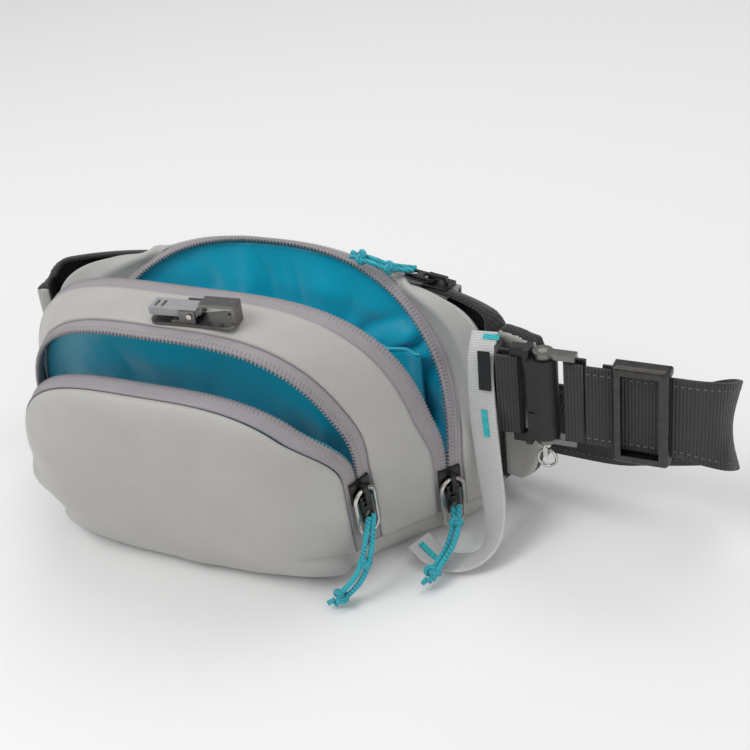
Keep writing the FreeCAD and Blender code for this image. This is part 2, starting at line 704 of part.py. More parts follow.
FRONT_ROUTE = [Vec(83.6, 3.2, 26.5), Vec(83.4, -2.6, 17.0), Vec(80.6, -8.6, 9.6), Vec(75.2, -12.6, 5.0)]
MAIN_ROUTE = [Vec(108.6, 38.0, 13.2), Vec(109.8, 29.6, 10.6), Vec(109.8, 21.4, 9.4), Vec(107.4, 11.4, 6.4)]
REAR_ROUTE = [Vec(60.6, 96.6, 103.4), Vec(55.0, 95.2, 106.6), Vec(48.4, 95.4, 107.8)]
strands("front_cord", FRONT_ROUTE, Vec(0.75, 0.35, -0.55).normalize(),
        tab_hole(front_place))
strands("main_cord", MAIN_ROUTE, Vec(0.9, 0.1, 0.42).normalize(),
        tab_hole(main_place))
strands("rear_cord", REAR_ROUTE, Vec(0.1, -0.99, -0.1).normalize(),
        tab_hole(rear_slider_place))
knots("front_cord_knots", [(FRONT_ROUTE[1], 3.4, 3.6), (FRONT_ROUTE[-1], 4.2, 4.8)])
knots("main_cord_knots", [(MAIN_ROUTE[0], 3.4, 3.8), (MAIN_ROUTE[-1], 4.2, 5.0)])
knots("rear_cord_knots", [(REAR_ROUTE[0], 3.2, 3.2), (REAR_ROUTE[-1], 3.6, 4.2)])

# ---------------------------------------------------------------- side loop and its marks

LOOP = [
    (Vec(113.2, 75.4, 90), Vec(1, -0.29, 0)),
    (Vec(113.6, 66.8, 79), Vec(1, -0.25, 0)),
    (Vec(115.8, 60.0, 58), Vec(1, -0.2, 0)),
    (Vec(119.6, 53.5, 37), Vec(1, -0.25, 0.1)),
    (Vec(123.4, 47.0, 20), Vec(1, -0.35, 0.35)),
    (Vec(125.2, 38.5, 8.6), Vec(0.8, -0.55, 0.4)),
    (Vec(122.0, 30.5, 3.8), Vec(0.35, -0.9, 0.2)),
    (Vec(113.0, 25.5, 2.2), Vec(0.0, -1, 0.05)),
    (Vec(103.0, 25.2, 3.6), Vec(-0.3, -0.9, 0.1)),
    (Vec(94.0, 28.6, 8.2), Vec(-0.5, -0.85, 0.05)),
]
shape_part("side_loop", ribbon(dense([p for p, w in LOOP]), dense([w for p, w in LOOP]),
                               SIZE["loop_width"], SIZE["loop_cloth"]))


def stitch_mark(name, placement, length, width):
    """A bartack: a thin raised bar of thread."""
    mark = box(name, (f"{-length / 2}", f"{-width / 2}", "0"), (f"{length / 2}", f"{width / 2}", "0.5"))
    mark.Placement = placement
    for key in "xyz":
        mark.setExpression(f"Placement.Base.{key}", None)
    return mark


def on_loop(index, share, lift):
    """A placement on the loop's outer face, X across and Y along."""
    low, across = LOOP[index]
    high = LOOP[index + 1][0]
    ahead = (high - low).normalize()
    across = (across - ahead * across.dot(ahead)).normalize()
    out = across.cross(ahead)
    out = out if out.y < 0 else -out
    spot = low + (high - low) * share + out * (SIZE["loop_cloth"] / 2 + lift)
    return FreeCAD.Placement(spot, FreeCAD.Rotation(across, out.cross(across), out, "XYZ"))


marks = [
    stitch_mark("mark_top", on_loop(0, 0.25, 0.15), 8, 2.2),
    stitch_mark("mark_middle", on_loop(2, 0.45, 0.15), 2.6, 12),
    stitch_mark("mark_low", on_loop(8, 0.8, 0.15), 2.6, 11),
]
compound("bartacks", marks)
label = stitch_mark("label_tab_block", on_loop(1, 0.5, 1.2), 6, 17)
keep(label, "label_tab")

# ---------------------------------------------------------------- lock on the middle gusset

lock_z = SIZE["arch_base"] + SIZE["main_rise"] - 0.5
lock_place = FreeCAD.Placement(Vec(15.5, 7.2, lock_z), FreeCAD.Rotation(Vec(0, 0, 1), 5))


def lock_plate():
    """Base plate whose right end folds up and back over as a hook."""
    half, side = "@plate_length / 2", "@plate_width / 2"
    parts = [
        box("plate_base", (f"-({half})", f"-({side})", "0"), (half, side, "1.2")),
        box("plate_rise", (f"{half} - 1.4", "-3.6", "0"), (half, "3.6", "9")),
        box("plate_hook", (f"{half} - 15.4", "-3.6", "7.8"), (half, "3.6", "9.2")),
        box("plate_lip", (f"{half} - 15.4", "-3.6", "5.6"), (f"{half} - 14.1", "3.6", "9.2")),
    ]
    base = rounded("plate_rounded", parts[0], 4.0, along(Vec(0, 0, 1)))
    return keep(fuse("lock_plate", [base] + parts[1:]), "lock_plate", lock_place)


def lock_gate():
    """Bracket with two ears, a cross rod and the clip that shuts the hook."""
    foot = box("bracket_foot", ("-8.5", "-5.8", "1.3"), ("-2.4", "5.8", "2.3"))
    ears = [box(f"bracket_ear_{tag}", ("-5.0", a, "1.3"), ("2.2", b, "6.6"))
            for tag, a, b in (("near", "-5.8", "-4.6"), ("far", "4.6", "5.8"))]
    hole = rod("bracket_hole", "1.1 + @pin_gap", ("0", "-8", "4.6"), "16", "y")
    keep(cut("lock_bracket", fuse("bracket_solid", [foot] + ears), hole), "lock_bracket", lock_place)
    spots = ((-7.0, -3.6, 2.35), (-7.0, 3.6, 2.35), (13.0, -4.9, 1.25), (13.0, 4.9, 1.25))
    heads = [rod(f"rivet_{i}", "1.1", (f"{x}", f"{y}", f"{z}"), "0.5") for i, (x, y, z) in enumerate(spots)]
    compound("lock_rivets", heads, lock_place)
    compound("lock_rod", [rod("rod_bar", "1.1", ("0", "-6.6", "4.6"), "13.2", "y")], lock_place)
    arm = box("clip_arm", ("-19", "-4.2", "3.2"), ("2.0", "4.2", "6.4"))
    nose = box("clip_nose", ("1.0", "-2.6", "3.4"), ("3.0", "2.6", "5.0"))
    bore = rod("clip_bore", "1.1 + @pin_gap", ("0", "-8", "4.6"), "16", "y")
    slots = [box(f"clip_slot_{i}", (f"{x}", "-2.4", "5.4"), (f"{x + 1.4}", "2.4", "7"))
             for i, x in enumerate((-17.4, -14.4))]
    body = cut("clip_bored", fuse("clip_solid", [arm, nose]), bore)
    for i, slot in enumerate(slots):
        body = cut(f"clip_cut_{i}", body, slot)
    keep(body, "lock_clip", lock_place)


lock_plate()
lock_gate()

# ---------------------------------------------------------------- buckle, belt and strap slider

buckle = Vec(edge_x + TIP + 3.6, 65.6, 68.0)
buckle_place = FreeCAD.Placement(buckle, FreeCAD.Rotation())
half_web = "(@webbing_width / 2 + @webbing_gap)"
tall = f"({half_web} + @frame_bar)"


def buckle_housing():
    """Barrel with a through bore, and a frame window for the wing's webbing."""
    barrel = rod("barrel", "@barrel_radius", ("0", "0", f"-{half_web}"), f"2 * {half_web}")
    block = box("barrel_block", ("-@barrel_radius", "-@barrel_radius", f"-{half_web}"),
                ("0", "@barrel_radius", half_web))
    bars = [
        box("frame_top", ("-14", "-2.2", half_web), ("-5", "2.2", tall)),
        box("frame_low", ("-14", "-2.2", f"-{tall}"), ("-5", "2.2", f"-{half_web}")),
        box("frame_side", ("-14", "-1.2", f"-{half_web}"), ("-11.6", "1.2", half_web)),
        box("frame_joint_top", ("-8", "-4", f"{half_web} - 2"), ("-5.2", "4", tall)),
        box("frame_joint_low", ("-8", "-4", f"-{tall}"), ("-5.2", "4", f"-{half_web} + 2")),
    ]
    solid = fuse("housing_solid", [barrel, block] + bars)
    bore = rod("housing_bore", "@pin_radius + @pin_gap", ("0", "0", "-40"), "80")
    well = rod("housing_well", "3.6", ("0", "0", f"-{half_web} + 2.5"), "15")
    window = box("housing_window", ("-12", "-9", "-6"), ("-2.6", "-5.2", "6"))
    body = cut("housing_bored", solid, bore)
    body = cut("housing_well_cut", body, well)
    return keep(cut("buckle_housing", body, window), "buckle_housing", buckle_place)


def locking_pin():
    """The pin with its collar and the eye of its pull ring."""
    stem = rod("pin_stem", "@pin_radius", ("0", "0", f"-{tall} - 2"), f"2 * {tall} + 1")
    collar = rod("pin_collar", "3.3", ("0", "0", f"-{half_web} + 11.5"), "1.4")
    eye = box("pin_eye", ("-1", "-2.4", f"-{tall} - 6.4"), ("1", "2.4", f"-{tall} - 1.6"))
    hole = rod("pin_eye_hole", "1.3", ("-3", "0", f"-{tall} - 4.2"), "6", "x")
    return keep(cut("locking_pin", fuse("pin_solid", [stem, collar, eye]), hole), "locking_pin",
                buckle_place)


def pin_spring():
    """Spring envelope between the well's floor and the pin's collar."""
    outer = rod("spring_outer", "3.2", ("0", "0", f"-{half_web} + 2.6"), "8.8")
    inner = rod("spring_inner", "2.3", ("0", "0", f"-{half_web} + 1"), "14")
    return keep(cut("pin_spring", outer, inner), "pin_spring", buckle_place)


def steel_bracket():
    """U bracket: two eyes on the pin and a bar that carries the belt."""
    parts = []
    for tag, low, high in (("top", f"{half_web} + 0.3", f"{half_web} + 3.0"),
                           ("low", f"-{half_web} - 3.0", f"-{half_web} - 0.3")):
        parts.append(rod(f"eye_{tag}", "4.4", ("0", "0", low), f"({high}) - ({low})"))
        parts.append(box(f"arm_{tag}", ("0", "-2.4", low), ("@bracket_reach + 2.2", "2.4", high)))
    parts.append(rod("bracket_bar", "@bracket_wire", ("@bracket_reach", "0", f"-{half_web} - 1"),
                     f"2 * {half_web} + 2"))
    hole = rod("bracket_bore", "@pin_radius + @pin_gap", ("0", "0", "-40"), "80")
    return keep(cut("steel_bracket", fuse("bracket_body", parts), hole), "steel_bracket", buckle_place)


buckle_housing()
locking_pin()
pin_spring()
steel_bracket()
pin_foot = -(SIZE["webbing_width"] / 2 + SIZE["webbing_gap"] + SIZE["frame_bar"] + 4.2)
ring = doc.addObject("Part::Torus", "pin_ring")
ring.Radius1, ring.Radius2 = 4.2, 0.7
keep(ring, "pin_ring", FreeCAD.Placement(buckle + Vec(0, 0, pin_foot - 4.2),
                                         FreeCAD.Rotation(Vec(1, 0, 0), 90)))


def fold_shape(centre, radius, reach, side):
    """Webbing folded round an upright bar, its two layers reaching toward side."""
    cloth = SIZE["webbing_cloth"]
    low = centre - Vec(0, 0, SIZE["webbing_width"] / 2)
    outer = Part.makeCylinder(radius + cloth, SIZE["webbing_width"], low)
    outer = outer.fuse(Part.makeBox(reach, 2 * (radius + cloth), SIZE["webbing_width"],
                                    low + Vec(0 if side > 0 else -reach, -(radius + cloth), 0)))
    inner = Part.makeCylinder(radius, SIZE["webbing_width"], low)
    inner = inner.fuse(Part.makeBox(reach + 1, 2 * radius, SIZE["webbing_width"],
                                    low + Vec(0 if side > 0 else -reach - 1, -radius, 0)))
    return outer.cut(inner).removeSplitter()


web = SIZE["webbing_cloth"]
reach = SIZE["bracket_reach"]
shape_part("strap_loop", fold_shape(buckle + Vec(reach, 0, 0), SIZE["bracket_wire"] + 0.4, 5.5, 1))
webbing = fold_shape(buckle + Vec(-12.8, 0, 0), 1.9, 7.5, -1)
plan = [(-20.2, -3.5), (-20.2, 3.5), (-21.0, 11.2), (-23.4, 11.8), (-23.0, 4.0)]
low = buckle.z - SIZE["webbing_width"] / 2
sewn_end = Part.Face(Part.makePolygon([Vec(buckle.x + x, buckle.y + y, low) for x, y in plan + plan[:1]]))
shape_part("wing_webbing", webbing.fuse(sewn_end.extrude(Vec(0, 0, SIZE["webbing_width"]))).removeSplitter())

belt_start = buckle + Vec(reach + 6.6, -(SIZE["bracket_wire"] + 0.4 + web / 2), 0)
glide_at = Vec(buckle.x + 42.4, belt_start.y, buckle.z)
turn_x = glide_at.x + SIZE["triglide_width"] / 2 + 3
back_gap = SIZE["back_pad"] + 3.4
BELT = [belt_start + Vec((turn_x - belt_start.x) * i / 5, 0, 0) for i in range(6)]
BELT += [Vec(turn_x + x, belt_start.y + y, buckle.z - drop) for x, y, drop in (
    (8, 1.4, 1.0), (15, 6.0, 4.0), (18.4, 13.4, 8.5), (15.6, 21.6, 14.5), (7, 27.0, 20.0),
    (-6, 29.6, 25.0), (-24, 31.6, 30.0), (-42, 33.4, 33.5))]
BELT += [Vec(x, back_edge.plane(x, 0) + back_gap + away, z) for x, away, z in (
    (110, 8.0, 32), (86, 2.0, 31), (60, 0.4, 30), (30, 0, 30), (0, 0, 30),
    (-30, 0, 30.5), (-60, 0.6, 34), (-86, 4.4, 43))]
BELT += [Vec(-104, 103.0, 48), Vec(-116.6, 99.4, 50)]
BELT = dense(BELT)
shape_part("belt_webbing", ribbon(BELT, [Vec(0, 0, 1)] * len(BELT), SIZE["webbing_width"], web))


def triglide():
    """Strap slider: two outer bars in front of the webbing and a bar behind it."""
    wide = "@triglide_width / 2"
    face = "(@webbing_cloth / 2 + @webbing_gap)"
    parts = [
        box("glide_left", (f"-({wide})", f"-{face} - 3.2", f"-{tall}"),
            (f"-({wide}) + 4", f"-{face}", tall)),
        box("glide_right", (f"{wide} - 4", f"-{face} - 3.2", f"-{tall}"), (wide, f"-{face}", tall)),
        box("glide_top", (f"-({wide})", f"-{face} - 3.2", half_web), (wide, f"{face} + 2.0", tall)),
        box("glide_low", (f"-({wide})", f"-{face} - 3.2", f"-{tall}"),
            (wide, f"{face} + 2.0", f"-{half_web}")),
        box("glide_bar", ("-2", face, f"-{half_web}"), ("2", f"{face} + 2.0", half_web)),
    ]
    solid = fuse("glide_solid", parts)
    outer = rounded("triglide", solid, 2.0, outer_corner)
    return keep(outer, "triglide", FreeCAD.Placement(glide_at, FreeCAD.Rotation()))


def outer_corner(edge):
    """The four outer corners of the strap slider's frame."""
    half = SIZE["triglide_width"] / 2
    high = SIZE["webbing_width"] / 2 + SIZE["webbing_gap"] + SIZE["frame_bar"]
    ends = [v.Point for v in edge.Vertexes]
    return all(abs(abs(p.x) - half) < 0.01 and abs(abs(p.z) - high) < 0.01 for p in ends)


triglide()
tail_at = glide_at + Vec(0, web / 2 + SIZE["webbing_gap"] + 1.0, 0)
tail = Part.makeBox(14.5, 1.2, SIZE["webbing_width"],
                    Vec(tail_at.x - 2 - 14.5 - 0.6, tail_at.y + 0.2, buckle.z - SIZE["webbing_width"] / 2))
shape_part("strap_tail", tail)

# ---------------------------------------------------------------- check and write

doc.recompute()
for obj in doc.Objects:
    bad = [state for state in obj.State if state in ("Invalid", "Error")]
    if bad:
        raise RuntimeError(f"{obj.Name} failed: {bad}")
names = [obj.Label for obj in nodes]
if len(set(names)) != len(names) or len(names) > 60:
    raise RuntimeError("node names must be unique, at most 60")
for obj in nodes:
    shape = obj.Shape
    if shape.isNull() or not shape.isValid() or shape.Volume <= 0:
        raise RuntimeError(f"{obj.Label} has a bad shape")
os.makedirs("parts", exist_ok=True)
for obj in nodes:
    obj.Shape.exportStep(f"parts/{obj.Label}.step")
print("nodes", len(nodes))
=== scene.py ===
import bpy
import math
from mathutils import Matrix, Vector, noise


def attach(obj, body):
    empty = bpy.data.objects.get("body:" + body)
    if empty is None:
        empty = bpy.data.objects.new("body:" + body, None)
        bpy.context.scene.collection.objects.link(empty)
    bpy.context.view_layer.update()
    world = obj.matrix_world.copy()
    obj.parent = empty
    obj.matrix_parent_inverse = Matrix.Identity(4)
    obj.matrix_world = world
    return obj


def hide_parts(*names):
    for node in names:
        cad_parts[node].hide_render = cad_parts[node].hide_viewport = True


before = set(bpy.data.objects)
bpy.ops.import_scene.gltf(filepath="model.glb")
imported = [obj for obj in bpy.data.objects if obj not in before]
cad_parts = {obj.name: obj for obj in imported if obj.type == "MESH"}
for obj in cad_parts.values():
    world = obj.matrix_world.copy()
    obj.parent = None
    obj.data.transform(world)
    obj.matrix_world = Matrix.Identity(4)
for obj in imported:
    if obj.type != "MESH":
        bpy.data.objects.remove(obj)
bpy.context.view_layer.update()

mm = 0.001
bagMiddle = Vector((0, -52, 0))  # the drawings below put y = 0 at the front, the frame at the middle


def toFrame(x, y, z):
    return (Vector((x, y, z)) + bagMiddle) * mm


# camera at the height and side that shows both open pockets
camera = {"target": (49.9, 92.0, 47.8), "azimuth": 26.95, "elevation": 31.56, "roll": 6.61,
          "distance": 666.6, "lens": 68.23}


def addCamera():
    a, e, r = (math.radians(camera[k]) for k in ("azimuth", "elevation", "roll"))
    back = Vector((math.sin(a) * math.cos(e), -math.cos(a) * math.cos(e), math.sin(e)))
    right = Vector((math.cos(a), math.sin(a), 0))
    up = back.cross(right)
    across = right * math.cos(r) - up * math.sin(r)
    over = right * math.sin(r) + up * math.cos(r)
    data = bpy.data.cameras.new("camera")
    data.lens = camera["lens"]
    data.sensor_width = 36
    data.clip_start = 0.01
    obj = bpy.data.objects.new("camera", data)
    bpy.context.scene.collection.objects.link(obj)
    turn = Matrix((across, over, back)).transposed().to_4x4()
    turn.translation = toFrame(*camera["target"]) + back * camera["distance"] * mm
    obj.matrix_world = turn
    bpy.context.scene.camera = obj


addCamera()
print("camera placed")

# materials

def hexColor(text, alpha=1.0):
    channels = [int(text[i:i + 2], 16) / 255 for i in (1, 3, 5)]
    linear = [c / 12.92 if c <= 0.04045 else ((c + 0.055) / 1.055) ** 2.4 for c in channels]
    return (*linear, alpha)


def addNode(tree, kind, settings=None, links=None):
    node = tree.nodes.new(kind)
    for key, value in (settings or {}).items():
        if isinstance(key, str) and hasattr(node, key):
            setattr(node, key, value)
        else:
            node.inputs[key].default_value = value
    for key, source in (links or {}).items():
        tree.links.new(source, node.inputs[key])
    return node


def newMaterial(name, color, rough, **sockets):
    mat = bpy.data.materials.new(name)
    mat.use_nodes = True
    shader = mat.node_tree.nodes["Principled BSDF"]
    shader.inputs["Base Color"].default_value = hexColor(color)
    shader.inputs["Roughness"].default_value = rough
    for key, value in sockets.items():
        shader.inputs[key.replace("_", " ")].default_value = value
    return mat, mat.node_tree, shader


def tint(tree, shader, factor, dark, light):
    # colour that wanders between two close shades
    ramp = addNode(tree, "ShaderNodeMix", {"data_type": "RGBA"})
    tree.links.new(factor, ramp.inputs[0])
    ramp.inputs[6].default_value = hexColor(dark)
    ramp.inputs[7].default_value = hexColor(light)
    tree.links.new(ramp.outputs[2], shader.inputs["Base Color"])
    return ramp


def flatPattern(tree):
    # cloth pieces carry their own flat pattern in millimetres, so the weave follows the cloth
    return addNode(tree, "ShaderNodeUVMap", {"uv_map": "flatPattern"}).outputs["UV"]


def solidPattern(tree):
    # solid pieces take their weave from where they are, in millimetres
    where = addNode(tree, "ShaderNodeTexCoord").outputs["Object"]
    return addNode(tree, "ShaderNodeMapping", {"Scale": (1000, 1000, 1000)}, {"Vector": where}).outputs[0]


def bumped(tree, shader, height, depth, strength=1.0):
    bump = addNode(tree, "ShaderNodeBump", {"Strength": strength, "Distance": depth * mm}, {"Height": height})
    tree.links.new(bump.outputs["Normal"], shader.inputs["Normal"])


def threads(tree, pattern, spacing, direction, profile="SIN"):
    # one wave per thread; wave textures repeat every 2 pi / 20 units at scale 1
    return addNode(tree, "ShaderNodeTexWave",
                   {"wave_type": "BANDS", "bands_direction": direction, "wave_profile": profile,
                    "Scale": math.pi / (10 * spacing), "Distortion": 0.0, "Detail": 0.0},
                   {"Vector": pattern}).outputs["Fac"]


def blendNodes(tree, operation, a, b):
    node = addNode(tree, "ShaderNodeMath", {"operation": operation}, {0: a})
    if isinstance(b, (int, float)):
        node.inputs[1].default_value = b
    else:
        tree.links.new(b, node.inputs[1])
    return node.outputs[0]


def patches(tree, pattern, size, detail=3.0):
    return addNode(tree, "ShaderNodeTexNoise", {"Scale": 1 / size, "Detail": detail, "Roughness": 0.55},
                   {"Vector": pattern}).outputs["Fac"]


def wovenCloth(name, colors, rough, spacing, depth, sheen=0.15, patch=22.0, fuzz=0.25, **sockets):
    # plain weave: warp and weft waves crossed, with slow shade changes over the cloth
    mat, tree, shader = newMaterial(name, colors[0], rough, Sheen_Weight=sheen,
                                    Sheen_Roughness=0.45, **sockets)
    pattern = flatPattern(tree)
    slow = patches(tree, pattern, patch)
    warp = threads(tree, pattern, spacing, "X")
    weft = threads(tree, pattern, spacing, "Y")
    weave = blendNodes(tree, "MAXIMUM", warp, weft)
    grain = patches(tree, pattern, spacing * 1.7, 2.0)
    height = blendNodes(tree, "ADD", blendNodes(tree, "MULTIPLY", grain, fuzz), weave)
    mixed = blendNodes(tree, "ADD", blendNodes(tree, "MULTIPLY", slow, 0.75),
                       blendNodes(tree, "MULTIPLY", weave, 0.25))
    tint(tree, shader, mixed, colors[0], colors[1])
    bumped(tree, shader, height, depth)
    return mat


def ribbedCloth(name, colors, rough, spacing, depth, cross=0.3, direction="X", solid=False, **sockets):
    # cords of thick weft across the webbing, with a finer warp over them
    mat, tree, shader = newMaterial(name, colors[0], rough, **sockets)
    pattern = solidPattern(tree) if solid else flatPattern(tree)
    rib = threads(tree, pattern, spacing, direction)
    warp = threads(tree, pattern, spacing * 0.55, "Z" if solid else "Y" if direction == "X" else "X")
    weave = blendNodes(tree, "ADD", rib, blendNodes(tree, "MULTIPLY", warp, cross))
    slow = patches(tree, pattern, 14.0)
    shade = blendNodes(tree, "ADD", blendNodes(tree, "MULTIPLY", rib, 0.6),
                       blendNodes(tree, "MULTIPLY", slow, 0.5))
    tint(tree, shader, shade, colors[0], colors[1])
    bumped(tree, shader, weave, depth)
    return mat


# 600 denier polyester with a coated back: pale warm grey, dull with a faint sheen
shellCloth = wovenCloth("coatedPolyester", ("#a6a4a0", "#bcbab6"), 0.62, 0.7, 0.05, sheen=0.2, patch=30.0)
# twill zip tape: greyer and a little violet beside the shell
zipTape = ribbedCloth("twillZipTape", ("#8b868b", "#a7a2a6"), 0.7, 0.9, 0.06, direction="Y")
# acetal-like nylon coil, moulded round and slightly glossy
nylonCoil, coilTree, coilShader = newMaterial("nylonCoil", "#8e8a8c", 0.38, IOR=1.53)
coilObject = addNode(coilTree, "ShaderNodeTexCoord").outputs["Object"]
tint(coilTree, coilShader, patches(coilTree, coilObject, 6 * mm), "#7c787b", "#9d999b")
# satin lining: long floats make a soft directional gloss in deep cyan
satinLining = wovenCloth("cyanSatin", ("#0098b8", "#08bddb"), 0.33, 0.6, 0.02, sheen=0.35, patch=40.0,
                         Anisotropic=0.4, Specular_IOR_Level=0.6)
# grosgrain: visible cross ribs about 1.3 mm apart
grosgrain = ribbedCloth("cyanGrosgrain", ("#0089a8", "#1abbd6"), 0.5, 1.6, 0.2)
# warp-knit spacer mesh, black, open hexagonal cells
airMesh, meshTree, meshShader = newMaterial("airMesh", "#141416", 0.85, Sheen_Weight=0.25)
meshPattern = flatPattern(meshTree)
cells = addNode(meshTree, "ShaderNodeTexVoronoi", {"Scale": 1 / 2.6, "Randomness": 0.15},
                {"Vector": meshPattern}).outputs["Distance"]
tint(meshTree, meshShader, cells, "#050506", "#26262a")
bumped(meshTree, meshShader, cells, 0.5)
# ribbed nylon webbing: ribs cross the belt, drawn a little coarser than the real ones so that they show
beltWebbing = ribbedCloth("ribbedNylonWebbing", ("#0d0d0e", "#39393b"), 0.55, 1.5, 0.3, Sheen_Weight=0.12)
foldedWebbing = ribbedCloth("foldedNylonWebbing", ("#0d0d0e", "#39393b"), 0.55, 1.5, 0.3,
                            solid=True, Sheen_Weight=0.12)
solidTape = ribbedCloth("twillTapeSolid", ("#8b868b", "#a7a2a6"), 0.7, 0.9, 0.06, solid=True)
# satin ribbon webbing, silvery, with fine cross ribs
ribbonWebbing = ribbedCloth("satinRibbon", ("#aeadae", "#cfcecd"), 0.34, 1.1, 0.05, Sheen_Weight=0.2)
# trilobal polyester thread, packed tight
barThread = ribbedCloth("cyanThread", ("#0aa7b4", "#35d0d6"), 0.45, 0.8, 0.25, direction="Z", solid=True)
seamThread, seamTree, seamShader = newMaterial("seamThread", "#8f8c8a", 0.6)
seamObject = addNode(seamTree, "ShaderNodeTexCoord").outputs["Object"]
tint(seamTree, seamShader, patches(seamTree, seamObject, 1.5 * mm), "#807d7b", "#9b9896")
# belt stitch thread: the thread is black; its mid grey colour is a painted highlight that makes the stitch rows
# show as light dots
blackThread, blackTree, blackShader = newMaterial("blackThread", "#5c5c5e", 0.5)
blackObject = addNode(blackTree, "ShaderNodeTexCoord").outputs["Object"]
tint(blackTree, blackShader, patches(blackTree, blackObject, 1.5 * mm), "#48484a", "#7d7d80")


def braidedCord():
    # round polyester braid, sixteen strands crossing at about 1.2 mm
    mat, tree, shader = newMaterial("braidedCord", "#0f9fb1", 0.55, Sheen_Weight=0.3)
    pattern = flatPattern(tree)
    left = addNode(tree, "ShaderNodeMapping", {"Rotation": (0, 0, math.radians(38))}, {"Vector": pattern})
    right = addNode(tree, "ShaderNodeMapping", {"Rotation": (0, 0, math.radians(-38))}, {"Vector": pattern})
    first = threads(tree, left.outputs[0], 1.1, "X")
    second = threads(tree, right.outputs[0], 1.1, "X")
    braid = blendNodes(tree, "MAXIMUM", first, second)
    tint(tree, shader, braid, "#05788a", "#1db4c4")
    bumped(tree, shader, braid, 0.16)
    return mat


def metalFinish(name, colors, rough, grain, depth, metallic=1.0, **sockets):
    # plated or drawn metal: shade and roughness vary a little with handling
    mat, tree, shader = newMaterial(name, colors[0], rough, Metallic=metallic, **sockets)
    where = addNode(tree, "ShaderNodeTexCoord").outputs["Object"]
    marks = patches(tree, where, grain * mm, 6.0)
    tint(tree, shader, marks, colors[0], colors[1])
    spread = addNode(tree, "ShaderNodeMapRange", {"To Min": rough * 0.75, "To Max": min(rough * 1.35, 1.0)},
                     {"Value": marks})
    tree.links.new(spread.outputs["Result"], shader.inputs["Roughness"])
    bumped(tree, shader, patches(tree, where, grain * 0.2 * mm, 3.0), depth)
    return mat


cordBraid = braidedCord()
# drawn stainless wire, polished: pale and mirror-like with fine draw marks
stainlessWire = metalFinish("polishedStainless", ("#b9b6b1", "#d8d5d0"), 0.2, 3.0, 0.01)
# zinc die casting with gunmetal plating: dark, satin
gunmetal = metalFinish("gunmetalZinc", ("#3c3b3a", "#5b5957"), 0.34, 2.5, 0.015)
# nickel plated pressed steel, satin, darker in the folds
pressedSteel = metalFinish("satinNickel", ("#6d6c6a", "#8d8c89"), 0.3, 2.0, 0.015)
# zinc clip in satin light grey
clipFinish = metalFinish("greyLacquer", ("#98979a", "#adacae"), 0.42, 4.0, 0.02, metallic=0.35)
# glass-filled nylon, moulded, very dark with a fine spark-eroded grain
mouldedNylon = metalFinish("mouldedNylon", ("#101011", "#1d1d1f"), 0.48, 0.9, 0.05, metallic=0.0, IOR=1.53)
labelWeave = ribbedCloth("wovenLabel", ("#08090a", "#1b1c1e"), 0.6, 0.7, 0.06, direction="Z", solid=True)
print("materials ready")

# the pull cords that hang from the three zips: wire and routes in mm, y counted as for toFrame
cordPulls = {
    "front": {"wire": 2.4, "spread": (0.75, 0.35, -0.55),
              "starts": ((81.79, 8.5, 33.02), (82.89, 10.87, 33.39)),
              "route": ((83.6, 3.2, 26.5), (83.4, -2.6, 17.0), (80.6, -8.6, 9.6), (75.2, -12.6, 5.0)),
              "knots": ((1, 3.4), (3, 4.4))},
    "main": {"wire": 2.4, "spread": (0.9, 0.1, 0.42),
              "starts": ((104.79, 44.99, 15.91), (106.5, 47.01, 15.95)),
             "route": ((108.6, 38.0, 13.2), (109.8, 29.6, 10.6), (109.8, 21.4, 9.4), (107.4, 11.4, 6.4)),
             "knots": ((0, 3.4), (3, 4.4))},
    "rear": {"wire": 2.4, "spread": (0.1, -0.99, -0.1),
              "starts": ((69.14, 106.96, 99.03), (68.72, 104.35, 99.03)),
             "route": ((60.6, 96.6, 103.4), (55.0, 95.2, 106.6), (48.4, 95.4, 107.8)),
             "knots": ((0, 3.2), (2, 3.8))},
}


def meshPiece(name, verts, faces, mat, uvs=None, smooth=True):
    mesh = bpy.data.meshes.new(name)
    mesh.from_pydata([tuple(v) for v in verts], [], faces)
    layer = mesh.uv_layers.new(name="flatPattern")
    if uvs is not None:
        for loop in mesh.loops:
            layer.data[loop.index].uv = uvs[loop.vertex_index]
    mesh.materials.append(mat)
    for face in mesh.polygons:
        face.use_smooth = smooth
    obj = bpy.data.objects.new(name, mesh)
    bpy.context.scene.collection.objects.link(obj)
    return obj


def settle(obj, body, slotName, *nodes):
    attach(obj, body)
    if nodes:
        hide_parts(*nodes)
    return obj


def gridPiece(name, rows, mat, closed=False):
    # rows of points; the flat pattern is measured in millimetres along and across
    verts, uvs, faces = [], [], []
    count = len(rows[0])
    across = 0.0
    for r, row in enumerate(rows):
        if r:
            across += (row[count // 2] - rows[r - 1][count // 2]).length / mm
        run = 0.0
        for c, point in enumerate(row):
            if c:
                run += (point - row[c - 1]).length / mm
            verts.append(point)
            uvs.append((run, across))
    for r in range(len(rows) - 1):
        for c in range(count if closed else count - 1):
            n = (c + 1) % count
            faces.append((r * count + c, r * count + n, (r + 1) * count + n, (r + 1) * count + c))
    return meshPiece(name, verts, faces, mat, uvs)


def thicken(obj, thickness, offset=-1.0):
    mod = obj.modifiers.new("thickness", "SOLIDIFY")
    mod.thickness = thickness * mm
    mod.offset = offset
    mod.use_even_offset = False
    return obj


